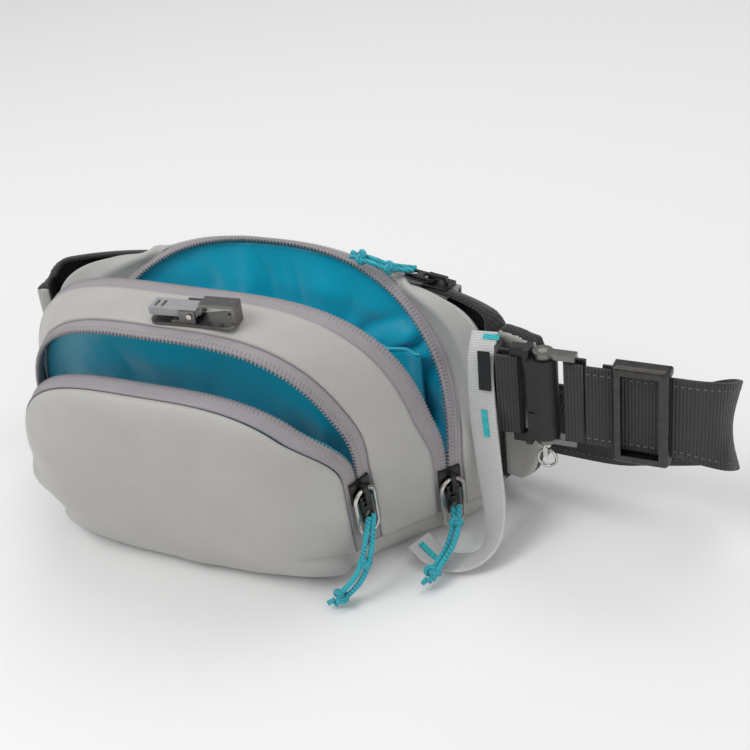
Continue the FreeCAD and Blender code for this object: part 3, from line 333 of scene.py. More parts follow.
def sweep(path, radius, sides=8, closed=False):
    # rings round a path, kept from twisting by carrying the side vector along
    rings = []
    count = len(path)
    ahead = (path[1] - path[0]).normalized()
    side = ahead.orthogonal().normalized()
    for i, point in enumerate(path):
        if closed:
            ahead = (path[(i + 1) % count] - path[i - 1]).normalized()
        else:
            ahead = (path[min(i + 1, count - 1)] - path[max(i - 1, 0)]).normalized()
        side = (side - ahead * side.dot(ahead)).normalized()
        other = ahead.cross(side)
        turns = [k * math.tau / sides for k in range(sides)]
        ring = [point + (side * math.cos(t) + other * math.sin(t)) * radius for t in turns]
        rings.append(ring)
    return rings


def tubePiece(name, path, radius, mat, sides=10, closed=False):
    rings = sweep(path, radius, sides, closed)
    verts = [v for ring in rings for v in ring]
    uvs, run = [], 0.0
    for i, ring in enumerate(rings):
        if i:
            run += (path[i] - path[i - 1]).length / mm
        uvs += [(run, k * math.tau * radius / mm / sides) for k in range(sides)]
    faces = []
    last = len(rings) if closed else len(rings) - 1
    for i in range(last):
        j = (i + 1) % len(rings)
        for k in range(sides):
            n = (k + 1) % sides
            faces.append((i * sides + k, i * sides + n, j * sides + n, j * sides + k))
    if not closed:
        faces.append(tuple(range(sides - 1, -1, -1)))
        faces.append(tuple(range((len(rings) - 1) * sides, len(rings) * sides)))
    return meshPiece(name, verts, faces, mat, uvs)


def smoothPath(points, steps=8):
    # more points along the same smooth path
    out = []
    for i in range(len(points) - 1):
        a, b = points[max(i - 1, 0)], points[i]
        c, d = points[i + 1], points[min(i + 2, len(points) - 1)]
        for k in range(steps):
            t = k / steps
            out.append((b * 2 + (c - a) * t + (a * 2 - b * 5 + c * 4 - d) * t * t
                        + (b * 3 - a - c * 3 + d) * t ** 3) * 0.5)
    return out + [points[-1]]


def knotLoop(centre, along, radius, wire):
    # an overhand knot pulled tight
    along = along.normalized()
    side = along.orthogonal().normalized()
    other = along.cross(side)
    path = []
    for i in range(48):
        t = i * math.tau / 48
        x = math.sin(t) + 2 * math.sin(2 * t)
        y = math.cos(t) - 2 * math.cos(2 * t)
        z = -math.sin(3 * t)
        path.append(centre + (side * x + other * y) * radius * 0.235 + along * z * wire * 0.52)
    return path


def cordPull(label, body, spec):
    wire = spec["wire"] * mm
    spread = Vector(spec["spread"]).normalized() * 0.68 * wire
    middle = [toFrame(*p) for p in spec["route"]]
    for order, (index, size) in enumerate(spec["knots"]):
        ahead = middle[min(index + 1, len(middle) - 1)] - middle[max(index - 1, 0)]
        loop = knotLoop(middle[index], ahead, size * mm, wire)
        knot = tubePiece(f"{label}Knot{order}", loop, wire * 0.5, cordBraid, 12, True)
        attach(knot, body)
    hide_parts(f"{label}_cord_knots")
    for order, tag in enumerate(("left", "right")):
        sign = -1 if order == 0 else 1
        points = [toFrame(*spec["starts"][order])] + [p + spread * sign for p in middle]
        curve = bpy.data.curves.new(f"{label}Strand{order}", "CURVE")
        curve.dimensions = "3D"
        line = curve.splines.new("NURBS")
        line.points.add(len(points) - 1)
        for place, point in zip(line.points, points):
            place.co = (*point, 1)
        line.order_u = 3
        line.use_endpoint_u = True
        curve.bevel_depth = wire / 2
        curve.bevel_resolution = 4
        curve.resolution_u = 10
        curve.use_fill_caps = True
        curve.materials.append(cordBraidRound)
        strand = bpy.data.objects.new(f"{label}Strand{order}", curve)
        bpy.context.scene.collection.objects.link(strand)
        settle(strand, body, "pull_cord", f"{label}_cord_{tag}")
    # the two cut ends past the end knot
    tail = middle[-1] - middle[-2]
    tail.normalize()
    for sign in (-1, 1):
        start = middle[-1] + tail * 2.6 * mm + spread * sign * 0.6
        end = start + tail * 3.0 * mm + spread * sign * 0.5
        end.z = max(end.z, 1.6 * mm)
        bend = smoothPath([start, (start + end) * 0.5, end], 4)
        stub = tubePiece(f"{label}Tail{sign}", bend, wire * 0.46, cordBraid)
        settle(stub, body, "pull_cord")


def roundBraid():
    # the same braid for curves, which carry no flat pattern
    mat, tree, shader = newMaterial("braidedCordRound", "#0f9fb1", 0.55, Sheen_Weight=0.3)
    where = addNode(tree, "ShaderNodeTexCoord").outputs["Object"]
    first = addNode(tree, "ShaderNodeTexWave", {"wave_type": "BANDS", "bands_direction": "DIAGONAL",
                    "Scale": math.pi / (10 * 1.3 * mm)}, {"Vector": where}).outputs["Fac"]
    turned = addNode(tree, "ShaderNodeMapping", {"Rotation": (0.9, 0.5, 1.2)}, {"Vector": where})
    second = addNode(tree, "ShaderNodeTexWave", {"wave_type": "BANDS", "bands_direction": "DIAGONAL",
                     "Scale": math.pi / (10 * 1.3 * mm)}, {"Vector": turned.outputs[0]}).outputs["Fac"]
    braid = blendNodes(tree, "MAXIMUM", first, second)
    tint(tree, shader, braid, "#05788a", "#1db4c4")
    bumped(tree, shader, braid, 0.16)
    return mat


cordBraidRound = roundBraid()
cordPull("front", "front_pull", cordPulls["front"])
cordPull("main", "main_pull", cordPulls["main"])
cordPull("rear", "rear_pull", cordPulls["rear"])
print("pull cords laid")

# seam lines: arches over the bag, all from the same few sizes
bag = {"baseTop": 12.0, "archBase": 6.0, "chainGap": 1.8, "tapeHalf": 7.5, "samples": 220}


class Arch:
    def __init__(self, half, rise, power, depth, lean, bulge, foot=None, leg=None, curl=2):
        self.half, self.rise, self.power, self.depth = half, rise, power, depth
        self.lean, self.bulge, self.foot, self.leg, self.curl = lean, bulge, foot, leg, curl

    def plane(self, x, z):
        return self.depth - self.lean * (z - bag["archBase"]) + self.bulge * (abs(x) / 100) ** self.curl

    def wide(self, z, inset):
        share = min((z - bag["archBase"]) / (self.rise - inset), 1.0)
        return (self.half - inset) * (1 - share ** self.power) ** (1 / self.power)

    def side(self, z, inset, right):
        base = bag["baseTop"]
        top, fade = (self.leg[0], 30.0) if right and self.leg else (base + 14.0, 22.0)
        if right and self.leg:
            endX, endY = self.leg[1] - inset, self.leg[2]
        else:
            endX = self.wide(top, inset)
            endY = self.plane(endX, top)
        share = (z - base) / (top - base)
        footX = self.foot[0] - inset
        legX, legY = footX + share * (endX - footX), self.foot[1] + share * (endY - self.foot[1])
        x = self.wide(z, inset)
        y = self.plane(x, z)
        t = min(max((z - top) / fade, 0.0), 1.0)
        t = t * t * (3 - 2 * t)
        return legX + (x - legX) * t, legY + (y - legY) * t

    def line(self, inset=0.0, back=0.0, start=None, count=None):
        start = bag["baseTop"] if start is None else start
        rise = self.rise - inset
        shares = [0.9 * math.cos(math.pi * i / 80) for i in range(40)]
        heights = [bag["archBase"] + rise * (1 - s ** self.power) ** (1 / self.power) for s in shares]
        low = [start + (heights[0] - start) * i / 40 for i in range(40)]
        right = [(*self.side(z, inset, True), z) for z in low + heights]
        left = [(*self.side(z, inset, False), z) for z in low + heights]
        points = [Vector((x, y + back, z)) for x, y, z in right]
        points.append(Vector((0, self.plane(0, bag["archBase"] + rise) + back, bag["archBase"] + rise)))
        points += [Vector((-x, y + back, z)) for x, y, z in reversed(left)]
        return evenly([(p + bagMiddle) * mm for p in points], count or bag["samples"])


def evenly(points, count):
    # the same line with evenly spaced points
    runs = [0.0]
    for a, b in zip(points, points[1:]):
        runs.append(runs[-1] + (b - a).length)
    out, j = [], 0
    for i in range(count):
        target = runs[-1] * i / (count - 1)
        while j < len(points) - 2 and runs[j + 1] < target:
            j += 1
        t = (target - runs[j]) / max(runs[j + 1] - runs[j], 1e-9)
        out.append(points[j].lerp(points[j + 1], min(max(t, 0.0), 1.0)))
    return out


def chainAt(low, high, side, offset, z):
    share = (z - low[2]) / (high[2] - low[2])
    return tuple(low[i] + (high[i] - low[i]) * share + side[i] * offset for i in range(2))


frontChain = {"low": (76.0, 16.0, 12.0), "high": (77.8, 8.5, 54.0), "side": (0.406, 0.914)}
mainChain = {"low": (101.0, 50.0, 12.0), "high": (101.6, 49.0, 37.0), "side": (0.645, 0.765)}


def zipArch(chain, offset, half, rise, power, depth, lean, bulge):
    low, high, side = chain["low"], chain["high"], chain["side"]
    return Arch(half, rise, power, depth, lean, bulge, chainAt(low, high, side, offset, low[2]),
                (high[2], *chainAt(low, high, side, offset, high[2])))


halfGap = bag["chainGap"] / 2
seamAt = bag["tapeHalf"]
frontSeam = zipArch(frontChain, -seamAt, 77.5, 94.2, 3.1, -1.5, 0.24, 10)
frontEdge = zipArch(frontChain, -halfGap, 81.0, 94.7, 3.06, 5.84, 0.22, 10)
pocketEdge = zipArch(frontChain, halfGap, 81.2, 112.3, 3.09, 15.6, 0.21, 10)
pocketSeam = zipArch(frontChain, seamAt, 83.5, 112.8, 3.1, 23.0, 0.205, 10)
mainSeam = zipArch(mainChain, -seamAt, 97.0, 115.5, 3.31, 32.0, 0.10, 10)
mainEdge = zipArch(mainChain, -halfGap, 100.8, 115.3, 3.31, 40.0, 0.09, 10)
leafEdge = zipArch(mainChain, halfGap, 101.0, 102.9, 2.35, 43.5, -0.54, 4)
leafSeam = zipArch(mainChain, seamAt, 105.5, 101.5, 2.5, 50.5, -0.515, 4)
backY, backBow, backHalf, backRise, backPad = 104.0, 14.0, 116.5, 89.5, 9.0
backEdge = Arch(backHalf, backRise, 9.0, backY, 0.0, -backBow,
                (backHalf, backY - backBow * (backHalf / 100) ** 4), curl=4)
panelFoot = chainAt(frontChain["low"], frontChain["high"], frontChain["side"], -seamAt, 12.0)
panelLeg = chainAt(frontChain["low"], frontChain["high"], frontChain["side"], -seamAt, 54.0)
panelArch = Arch(76.0, 93.0, 3.1, -1.9, 0.24, 10, (panelFoot[0] - 0.5, panelFoot[1] - 0.7),
                 (54.0, panelLeg[0] - 0.5, panelLeg[1] - 0.7))


def between(first, second, share):
    return [a.lerp(b, share) for a, b in zip(first, second)]


def inward(rows, r, c):
    # normal of a band at a row and column, pointing into the bag
    row = rows[r]
    up = row[min(c + 1, len(row) - 1)] - row[max(c - 1, 0)]
    over = rows[min(r + 1, len(rows) - 1)][c] - rows[max(r - 1, 0)][c]
    return up.cross(over).normalized()


def creased(rows, depth, size, seed, pinned=True, stretch=(1.0, 1.0, 1.0)):
    # soft creases: the cloth is held at its seams and moves most between them
    out = []
    for r, row in enumerate(rows):
        hold = math.sin(math.pi * r / (len(rows) - 1)) ** 0.6 if pinned and 0 < r < len(rows) - 1 else 0.0
        if not pinned:
            hold = 1.0
        line = []
        for c, point in enumerate(row):
            at = Vector((point.x * stretch[0], point.y * stretch[1], point.z * stretch[2])) / (size * mm)
            rise = noise.noise(at + Vector((seed, 0, 0))) + 0.5 * noise.noise(at * 2.3 + Vector((0, seed, 0)))
            line.append(point - inward(rows, r, c) * rise * depth * mm * hold)
        out.append(line)
    return out


def clothBand(name, lines, mat, thickness, crown, wrinkle, nodes, slotName,
              rowsPer=10, size=26.0, seed=1.0):
    # a sewn band between seam lines that rises slightly between its seams
    rows = []
    for a, b in zip(lines, lines[1:]):
        rows += [between(a, b, k / rowsPer) for k in range(rowsPer)]
    rows.append(lines[-1])
    lifted = []
    for r, row in enumerate(rows):
        share = r / (len(rows) - 1)
        edge = 1 - (2 * share - 1) ** 6
        lifted.append([p - inward(rows, r, c) * crown * mm * edge for c, p in enumerate(row)])
    obj = gridPiece(name, creased(lifted, wrinkle, size, seed), mat)
    thicken(obj, thickness)
    return settle(obj, "bag", slotName, *nodes)


def zipTeeth(name, edge, seam, pitch, phase, mat, nodes):
    # one bent loop of coil per pitch, lying across the tape's edge
    tooth = {"reach": 1.5, "length": 3.4, "wide": 1.15, "thick": 2.1, "sides": 8}
    runs = [0.0]
    for a, b in zip(edge, edge[1:]):
        runs.append(runs[-1] + (b - a).length)
    count = int(runs[-1] / (pitch * mm))
    verts, faces, uvs, j = [], [], [], 0
    for i in range(count):
        target = (i + phase) * pitch * mm
        while j < len(edge) - 2 and runs[j + 1] < target:
            j += 1
        t = (target - runs[j]) / max(runs[j + 1] - runs[j], 1e-9)
        here = edge[j].lerp(edge[j + 1], t)
        ahead = (edge[j + 1] - edge[j]).normalized()
        toSeam = seam[j].lerp(seam[j + 1], t) - here
        toSeam = (toSeam - ahead * toSeam.dot(ahead)).normalized()
        up = ahead.cross(toSeam)
        steps = ((-0.2, 0.55), (0.05, 0.95), (0.35, 1.0), (0.8, 1.0), (1.0, 0.75))
        start = len(verts)
        for share, size in steps:
            centre = here + toSeam * (share * tooth["length"] - 0.1) * mm
            for k in range(tooth["sides"]):
                angle = k * math.tau / tooth["sides"]
                verts.append(centre + ahead * math.cos(angle) * tooth["wide"] / 2 * size * mm
                             + up * math.sin(angle) * tooth["thick"] / 2 * size * mm)
                uvs.append((share, k))
        n = tooth["sides"]
        for s in range(len(steps) - 1):
            for k in range(n):
                a, b = start + s * n + k, start + s * n + (k + 1) % n
                faces.append((a, b, b + n, a + n))
        faces.append(tuple(start + k for k in range(n - 1, -1, -1)))
        last = start + (len(steps) - 1) * n
        faces.append(tuple(last + k for k in range(n)))
    return settle(meshPiece(name, verts, faces, mat, uvs), "bag", "zip_coil", *nodes)


def stitchRow(name, line, mat, body="bag", slotName="shell_cloth", length=2.3, gap=1.0, radius=0.24):
    # a run of lock stitches along a line of points
    runs = [0.0]
    for a, b in zip(line, line[1:]):
        runs.append(runs[-1] + (b - a).length)
    verts, faces, uvs, j = [], [], [], 0
    position = 0.6 * mm
    while position + length * mm < runs[-1]:
        ends = []
        for target in (position, position + length * mm):
            while j < len(line) - 2 and runs[j + 1] < target:
                j += 1
            ends.append(line[j].lerp(line[j + 1], (target - runs[j]) / max(runs[j + 1] - runs[j], 1e-9)))
        a, b = ends
        ahead = (b - a).normalized()
        side = ahead.orthogonal().normalized()
        other = ahead.cross(side)
        start = len(verts)
        for share, size in ((0, 0.35), (0.15, 0.9), (0.5, 1.0), (0.85, 0.9), (1, 0.35)):
            centre = a.lerp(b, share)
            for k in range(6):
                angle = k * math.tau / 6
                verts.append(centre + (side * math.cos(angle) + other * math.sin(angle)) * radius * size * mm)
                uvs.append((share * length, k))
        for s in range(4):
            for k in range(6):
                c, d = start + s * 6 + k, start + s * 6 + (k + 1) % 6
                faces.append((c, d, d + 6, c + 6))
        faces.append(tuple(start + k for k in range(5, -1, -1)))
        faces.append(tuple(start + 24 + k for k in range(6)))
        position += (length + gap) * mm
    return settle(meshPiece(name, verts, faces, mat, uvs), body, slotName)


def zipSide(label, seamArch, edgeArch, node, phase, first):
    # tape with a folded edge, its coil, and the row of stitches that holds it
    seamLine, edgeLine = seamArch.line(), edgeArch.line()
    rows = [between(seamLine, edgeLine, k / 5) for k in range(6)]
    tape = gridPiece(f"{label}Tape", rows if first else rows[::-1], zipTape)
    thicken(tape, 0.8)
    settle(tape, "bag", "zip_tape", f"{node}_tape")
    zipTeeth(f"{label}Coil", edgeLine, seamLine, 1.75, phase, nylonCoil, [f"{node}_coil"])
    lift = (0.35 if first else -0.35) * mm
    up = [inward([seamLine, edgeLine], 0, c) * lift for c in range(len(seamLine))]
    held = [p + u for p, u in zip(between(seamLine, edgeLine, 0.16), up)]
    stitchRow(f"{label}TapeStitch", held, seamThread, slotName="zip_tape", radius=0.2)


zipSide("frontZipFront", frontSeam, frontEdge, "front_zip_front", 0.0, True)
zipSide("frontZipRear", pocketSeam, pocketEdge, "front_zip_rear", 0.5, False)
zipSide("mainZipFront", mainSeam, mainEdge, "main_zip_front", 0.0, True)
zipSide("mainZipRear", leafSeam, leafEdge, "main_zip_rear", 0.5, False)
print("zips sewn")

# outer cloth
middleLines = [pocketSeam.line(), mainSeam.line()]
clothBand("middleGusset", middleLines, shellCloth, 1.6, 0.25, 0.55, ["middle_gusset"],
          "shell_cloth", size=30.0, rowsPer=16)
rearLines = [leafSeam.line(), backEdge.line(2.2, -2.2)]
rearMiddle = between(*rearLines, 0.5)
rearMiddle = [p - inward(rearLines, 0, c) * 3.0 * mm for c, p in enumerate(rearMiddle)]
rearLines.insert(1, rearMiddle)
clothBand("rearGusset", rearLines, shellCloth, 1.6, 0.0, 0.5, ["rear_gusset"],
          "shell_cloth", size=24.0, seed=5.0, rowsPer=8)


def panelOutline(inset, back, low, count=260):
    # the arch closed along the floor by a flat round-cornered sweep
    upper = [p / mm - bagMiddle for p in panelArch.line(inset, back, count=170)]
    foot = panelArch.foot[0] - inset
    lower = []
    for i in range(1, 40):
        angle = math.pi * i / 40
        x = -foot * math.copysign(abs(math.cos(angle)) ** (2 / 3.2), math.cos(angle))
        z = bag["baseTop"] - (bag["baseTop"] - low - inset) * math.sin(angle) ** (2 / 3.2)
        lower.append(Vector((x, panelArch.plane(x, z) + back, z)))
    loop = upper + lower + [upper[0]]
    return evenly(loop, count + 1)[:-1]


def dishRows(inset, back, low, profile, wrinkle, seed):
    # rings of a puffed panel from its seam to its middle
    edge = panelOutline(inset, back, low)
    middle = bag["archBase"] + 0.45 * panelArch.rise
    rows = []
    for scale, bulge in profile:
        flat = min(max((1 - scale) / 0.3, 0.0), 1.0)
        flat = flat * flat * (3 - 2 * flat)
        row = []
        for point in edge:
            x, z = point.x * scale, middle + (point.z - middle) * scale
            level = panelArch.depth - panelArch.lean * (z - bag["archBase"]) + back
            y = level - bulge + (point.y - panelArch.plane(0, point.z) - back) * (1 - flat)
            at = Vector((x, 0, z)) / 24.0
            soft = noise.noise(at + Vector((seed, 0, 0)))
            soft += 0.45 * noise.noise(at * 2.4 + Vector((0, 0, seed)))
            low01 = min(max(1 - z / 60, 0.0), 1.0)
            crease = math.sin((x * 0.11 + z * 0.21) + 3 * noise.noise(at * 0.8)) * low01
            y -= wrinkle * (soft + 0.5 * crease) * min(1.0, (1 - scale) * 9)
            row.append(toFrame(x, y, z))
        rows.append(row)
    return rows


# rings of a panel: how far in from the seam, and how far it stands out there, in mm
puff = [(1.0, 0.0), (0.994, 1.3), (0.985, 2.1), (0.97, 3.0), (0.945, 4.3), (0.915, 5.5),
        (0.88, 6.6), (0.83, 7.7)]
puff += [(0.77, 8.5), (0.7, 9.1), (0.62, 9.5), (0.53, 9.8), (0.44, 10.0), (0.35, 10.1),
         (0.26, 10.2), (0.17, 10.2), (0.09, 10.2), (0.03, 10.2)]


def puffedPanel(name, inset, back, low, mat, share, thickness, wrinkle, slotName, nodes, seed=2.0):
    profile = [(s, d * share) for s, d in puff]
    rows = dishRows(inset, back, low, profile, wrinkle, seed)
    count = len(rows[0])
    verts = [p for row in rows for p in row]
    faces = []
    for r in range(len(rows) - 1):
        for c in range(count):
            n = (c + 1) % count
            faces.append((r * count + c, (r + 1) * count + c, (r + 1) * count + n, r * count + n))
    centre = sum(rows[-1], Vector()) / count
    verts.append(centre)
    top = (len(rows) - 1) * count
    faces += [(top + c, len(verts) - 1, top + (c + 1) % count) for c in range(count)]
    uvs = [(v.x / mm, v.z / mm) for v in verts]
    obj = meshPiece(name, verts, faces, mat, uvs)
    thicken(obj, thickness, -1.0)
    return settle(obj, "bag", slotName, *nodes)


puffedPanel("frontPanel", 0, 0, 0.0, shellCloth, 0.95, 1.6, 0.75, "shell_cloth", ["front_panel"])
puffedPanel("frontPocketLining", 2.6, 2.0, 12.0, satinLining, 0.55, 0.5, 0.8,
            "lining", ["front_pocket_lining"], 7.0)
piping = [toFrame(*p) for p in panelOutline(-0.1, -0.5, 0.0)]
settle(tubePiece("panelPiping", piping, 0.85 * mm, zipTape, 10, True), "bag", "zip_tape")
print("front panel puffed")


def bottomOutline(share, z):
    half = [(x, panelArch.plane(x, 0) + 0.7) for x in (0, 12, 25, 38, 50, 60, 66)]
    half.append((frontSeam.foot[0] + 0.3, frontSeam.foot[1] + 0.6))
    half += [pocketSeam.foot, mainSeam.foot, leafSeam.foot]
    mid = rearMiddle[0] / mm - bagMiddle
    half += [(mid.x, mid.y), backEdge.foot]
    half += [(x, backEdge.plane(x, z)) for x in (104, 90, 75, 60, 45, 30, 15, 0)]
    ring = half + [(-x, y) for x, y in reversed(half[1:-1])]
    return [Vector((x * share, 52 + (y - 52) * share, z)) for x, y in ring]


def bottomPanel():
    rows = []
    for share, z in ((1.0, 12.0), (0.997, 9.0), (0.99, 5.5), (0.975, 2.2),
                     (0.955, 0.5), (0.92, 0.05), (0.6, 0.05), (0.02, 0.05)):
        outline = [toFrame(*p) for p in bottomOutline(share, z)]
        rows.append(evenly(outline + outline[:1], 241)[:-1])
    verts = [p for row in rows for p in row]
    count = len(rows[0])
    faces = []
    for r in range(len(rows) - 1):
        for c in range(count):
            n = (c + 1) % count
            faces.append((r * count + c, r * count + n, (r + 1) * count + n, (r + 1) * count + c))
    faces.append(tuple((len(rows) - 1) * count + c for c in range(count)))
    uvs = [((v.x + v.y * 0.2) / mm, (v.z + v.y) / mm) for v in verts]
    obj = meshPiece("bottomPanel", verts, faces, shellCloth, uvs)
    thicken(obj, 1.4, 1.0)
    settle(obj, "bag", "shell_cloth", "bottom_panel")
    seam = [toFrame(*p) for p in bottomOutline(1.002, 11.6)]
    piping = tubePiece("bottomPiping", evenly(seam + seam[:1], 200)[:-1], 0.7 * mm, shellCloth, 8, True)
    settle(piping, "bag", "shell_cloth")


bottomPanel()

# linings
curtain = {"inset": (1.6, 13.0), "back": (1.8, 4.2)}  # ribbed band that hangs behind the front zip
curtainRows = []
for k in range(7):
    t = k / 6
    inset = curtain["inset"][0] + (curtain["inset"][1] - curtain["inset"][0]) * t
    back = curtain["back"][0] + (curtain["back"][1] - curtain["back"][0]) * t
    curtainRows.append(frontEdge.line(inset, back, start=30.0))
band = gridPiece("zipCurtain", creased(curtainRows, 0.5, 12.0, 3.0, False), grosgrain)
thicken(band, 0.6)
settle(band, "bag", "lining", "front_binding")


def foldedLining(name, topLine, lowLine, depth, seed, nodes, folds=1.0, rowsCount=40):
    # satin hanging between two lines in soft folds that run down from the zip
    rows = []
    for k in range(rowsCount):
        t = k / (rowsCount - 1)
        row = between(topLine, lowLine, t)
        out = []
        for c, p in enumerate(row):
            u = c / (len(row) - 1)
            lean = u + 0.10 * noise.noise(Vector((u * 5, t * 1.6, seed)))
            broad = 1 - abs(noise.noise(Vector((lean * 17 * folds, t * 1.3, seed)))) * 2.6
            fine = noise.noise(Vector((lean * 44 * folds, t * 2.6, seed + 9)))
            wave = 0.9 * broad + 0.45 * fine
            drape = noise.noise(Vector((u * 8, t * 4, seed + 3)))
            amount = depth * mm * min(1.0, t * 5) * (0.55 * wave + 0.8 * drape - 0.7)
            out.append(p + Vector((0, 1, 0)) * min(amount, 0.0))  # the folds only come into the room
        rows.append(out)
    obj = gridPiece(name, rows, satinLining)
    thicken(obj, 0.5, 0.0)
    return settle(obj, "bag", "lining", *nodes)


def floorLine(points, count=None):
    return evenly(smoothPath([toFrame(*p) for p in points], 12), count or bag["samples"])


insideBack = [(103, 60, 13.5), (104, 72, 13.5), (96, 84, 13.5), (70, 92, 13.5),
              (35, 95.5, 13.5), (0, 96.5, 13.5)]
insideBack += [(-x, y, z) for x, y, z in reversed(insideBack[:-1])]
foldedLining("mainLining", leafSeam.line(0.8, -0.6), floorLine(insideBack), 4.6, 4.0,
             ["rear_lining", "back_lining"])
wallFoot = [(80, 30, 13.5), (50, 27.5, 13.5), (0, 25, 13.5), (-50, 27.5, 13.5), (-80, 30, 13.5)]
foldedLining("pocketDivider", pocketSeam.line(1.2, 0.8), floorLine(wallFoot), 2.2, 12.0,
             ["divider"], folds=0.7)
liningLines = [pocketSeam.line(3.4, 2.2), mainSeam.line(3.4, -1.2)]
clothBand("gussetLining", liningLines, satinLining, 0.5, 0.3, 0.9,
          ["gusset_lining"], "lining", size=16.0, seed=9.0)


def slipPocket():
    # flat pocket on the back lining with an elasticated, gathered top
    pocket = {"half": 78.0, "low": 14.0, "top": 68.0, "gather": 2.6}
    rows = []
    for r in range(16):
        t = r / 15
        z = pocket["low"] + (pocket["top"] - pocket["low"]) * t
        row = []
        for c in range(201):
            x = -pocket["half"] + 2 * pocket["half"] * c / 200
            pull = t ** 3 * 1.1 * math.sin(x / pocket["gather"] + 1.5 * noise.noise(Vector((x / 9, 0, 2))))
            lean = 4.0 * math.sin(math.pi * t * 0.5) * math.cos(x / pocket["half"] * math.pi / 2)
            row.append(toFrame(x, backEdge.plane(x, 0) - 14.5 - lean + pull, z))
        rows.append(row)
    obj = gridPiece("slipPocket", rows, satinLining)
    thicken(obj, 0.6, 0.0)
    settle(obj, "bag", "lining", "slip_pocket")
    hem = tubePiece("slipPocketElastic", rows[-1], 0.9 * mm, satinLining, 8)
    settle(hem, "bag", "lining")


slipPocket()
print("linings hung")


def paddedSlab(name, pathPoints, low, high, thick, corner, mat, channels, nodes, slotName, side=1.0):
    # foam pad: its thickness falls away to the seamed rim, and sewn channels pull it in
    rows, count = [], 150
    line = evenly(smoothPath([toFrame(*p) for p in pathPoints], 10), count)
    total = sum((b - a).length for a, b in zip(line, line[1:]))
    for r in range(60):
        t = r / 59
        z = low + (high - low) * t
        row = []
        for c, p in enumerate(line):
            u = c / (count - 1)
            fromSide = min(u, 1 - u) * total / mm
            fromEnd = min(z - low, high - z)
            reachX = corner - fromSide
            reachZ = corner - fromEnd
            rim = min(fromSide, fromEnd)
            if reachX > 0 and reachZ > 0:
                rim = corner - math.hypot(reachX, reachZ)
            crown = math.sqrt(max(0.0, 1 - max(0.0, 1 - rim / 4.5) ** 2)) if rim < 4.5 else 1.0
            press = 0.0
            for at in channels:
                press += math.exp(-((u - at) * total / mm / 2.4) ** 2)
            ahead = (line[min(c + 1, count - 1)] - line[max(c - 1, 0)]).normalized()
            out = Vector((-ahead.y, ahead.x, 0)).normalized() * side
            fade = 1 if 8 < fromEnd else fromEnd / 8
            depth = thick * max(crown, 0.0) * (1 - 0.55 * min(press, 1.0) * fade)
            inset = max(0.0, -rim)
            toMiddle = (line[count // 2] - p) * (inset * mm / max((line[count // 2] - p).length, 1e-6))
            point = Vector((p.x + toMiddle.x, p.y + toMiddle.y, z * mm)) + out * (depth - 0.5) * mm
            if reachX > 0 and reachZ > 0 and rim < 0:
                point.z += (inset * mm) * (1 if z < (low + high) / 2 else -1)
            row.append(point)
        rows.append(row)
    obj = gridPiece(name, rows, mat)
    thicken(obj, 1.2, -1.0)
    settle(obj, "bag", slotName, *nodes)
    return obj


backPath = [(-x, backEdge.plane(x, 0) + 0.6, 0) for x in (117.6, 108, 96, 80, 60, 40, 20)]
backPath = [(x, backEdge.plane(x, 0) + 0.6, 0) for x in (117.6, 108, 96, 80, 60, 40, 20, 0)] + backPath[::-1]
backPadding = paddedSlab("backPad", backPath, 3.0, 94.0, 9.0, 14.0, airMesh, (0.28, 0.5, 0.72),
                         ["back_panel"], "mesh_pad", -1.0)
print("pads filled")


def wingPad(name, node, body="bag"):
    # CAD keeps the wing's outline; the pad follows it with a rounded rim
    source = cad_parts[node]
    obj = bpy.data.objects.new(name, source.data.copy())
    bpy.context.scene.collection.objects.link(obj)
    obj.matrix_world = source.matrix_world.copy()
    remesh = obj.modifiers.new("remesh", "REMESH")
    remesh.mode = "VOXEL"
    remesh.voxel_size = 1.2 * mm
    soft = obj.modifiers.new("soften", "SMOOTH")
    soft.factor = 0.8
    soft.iterations = 7
    bpy.context.view_layer.update()
    done = bpy.data.meshes.new_from_object(obj.evaluated_get(bpy.context.evaluated_depsgraph_get()))
    obj.modifiers.clear()
    obj.data = done
    obj.data.materials.clear()
    obj.data.materials.append(airMesh)
    for layer in list(obj.data.uv_layers):
        obj.data.uv_layers.remove(layer)
    layer = obj.data.uv_layers.new(name="flatPattern")
    for loop in obj.data.loops:
        co = obj.matrix_world @ obj.data.vertices[loop.vertex_index].co
        layer.data[loop.index].uv = ((co.x + co.y) / mm, co.z / mm)
    obj.data.materials.append(shellCloth)
    for face in obj.data.polygons:
        face.use_smooth = True
        face.material_index = 1 if face.normal.y < -0.35 and abs(face.normal.z) < 0.75 else 0
    settle(obj, body, "mesh_pad", node)
    return obj


wingPad("rightWing", "right_wing")
wingPad("leftWing", "left_wing")

# webbing


def ribbonPiece(name, route, widths, width, thick, mat, slotName, nodes, twistRows=9):
    # webbing laid flat along its route with bevelled edges; its slightly thicker woven edges are not modelled
    rows = []
    for j in range(twistRows):
        s = -1 + 2 * j / (twistRows - 1)
        row = []
        for i, point in enumerate(route):
            ahead = (route[min(i + 1, len(route) - 1)] - route[max(i - 1, 0)]).normalized()
            across = widths[i] - ahead * widths[i].dot(ahead)
            row.append(point + across.normalized() * s * width / 2 * mm)
        rows.append(row)
    obj = gridPiece(name, rows, mat)
    thicken(obj, thick, 0.0)
    edge = obj.modifiers.new("edge", "BEVEL")
    edge.width = 0.3 * mm
    edge.segments = 2
    edge.limit_method = "ANGLE"
    settle(obj, "bag", slotName, *nodes)
    return rows


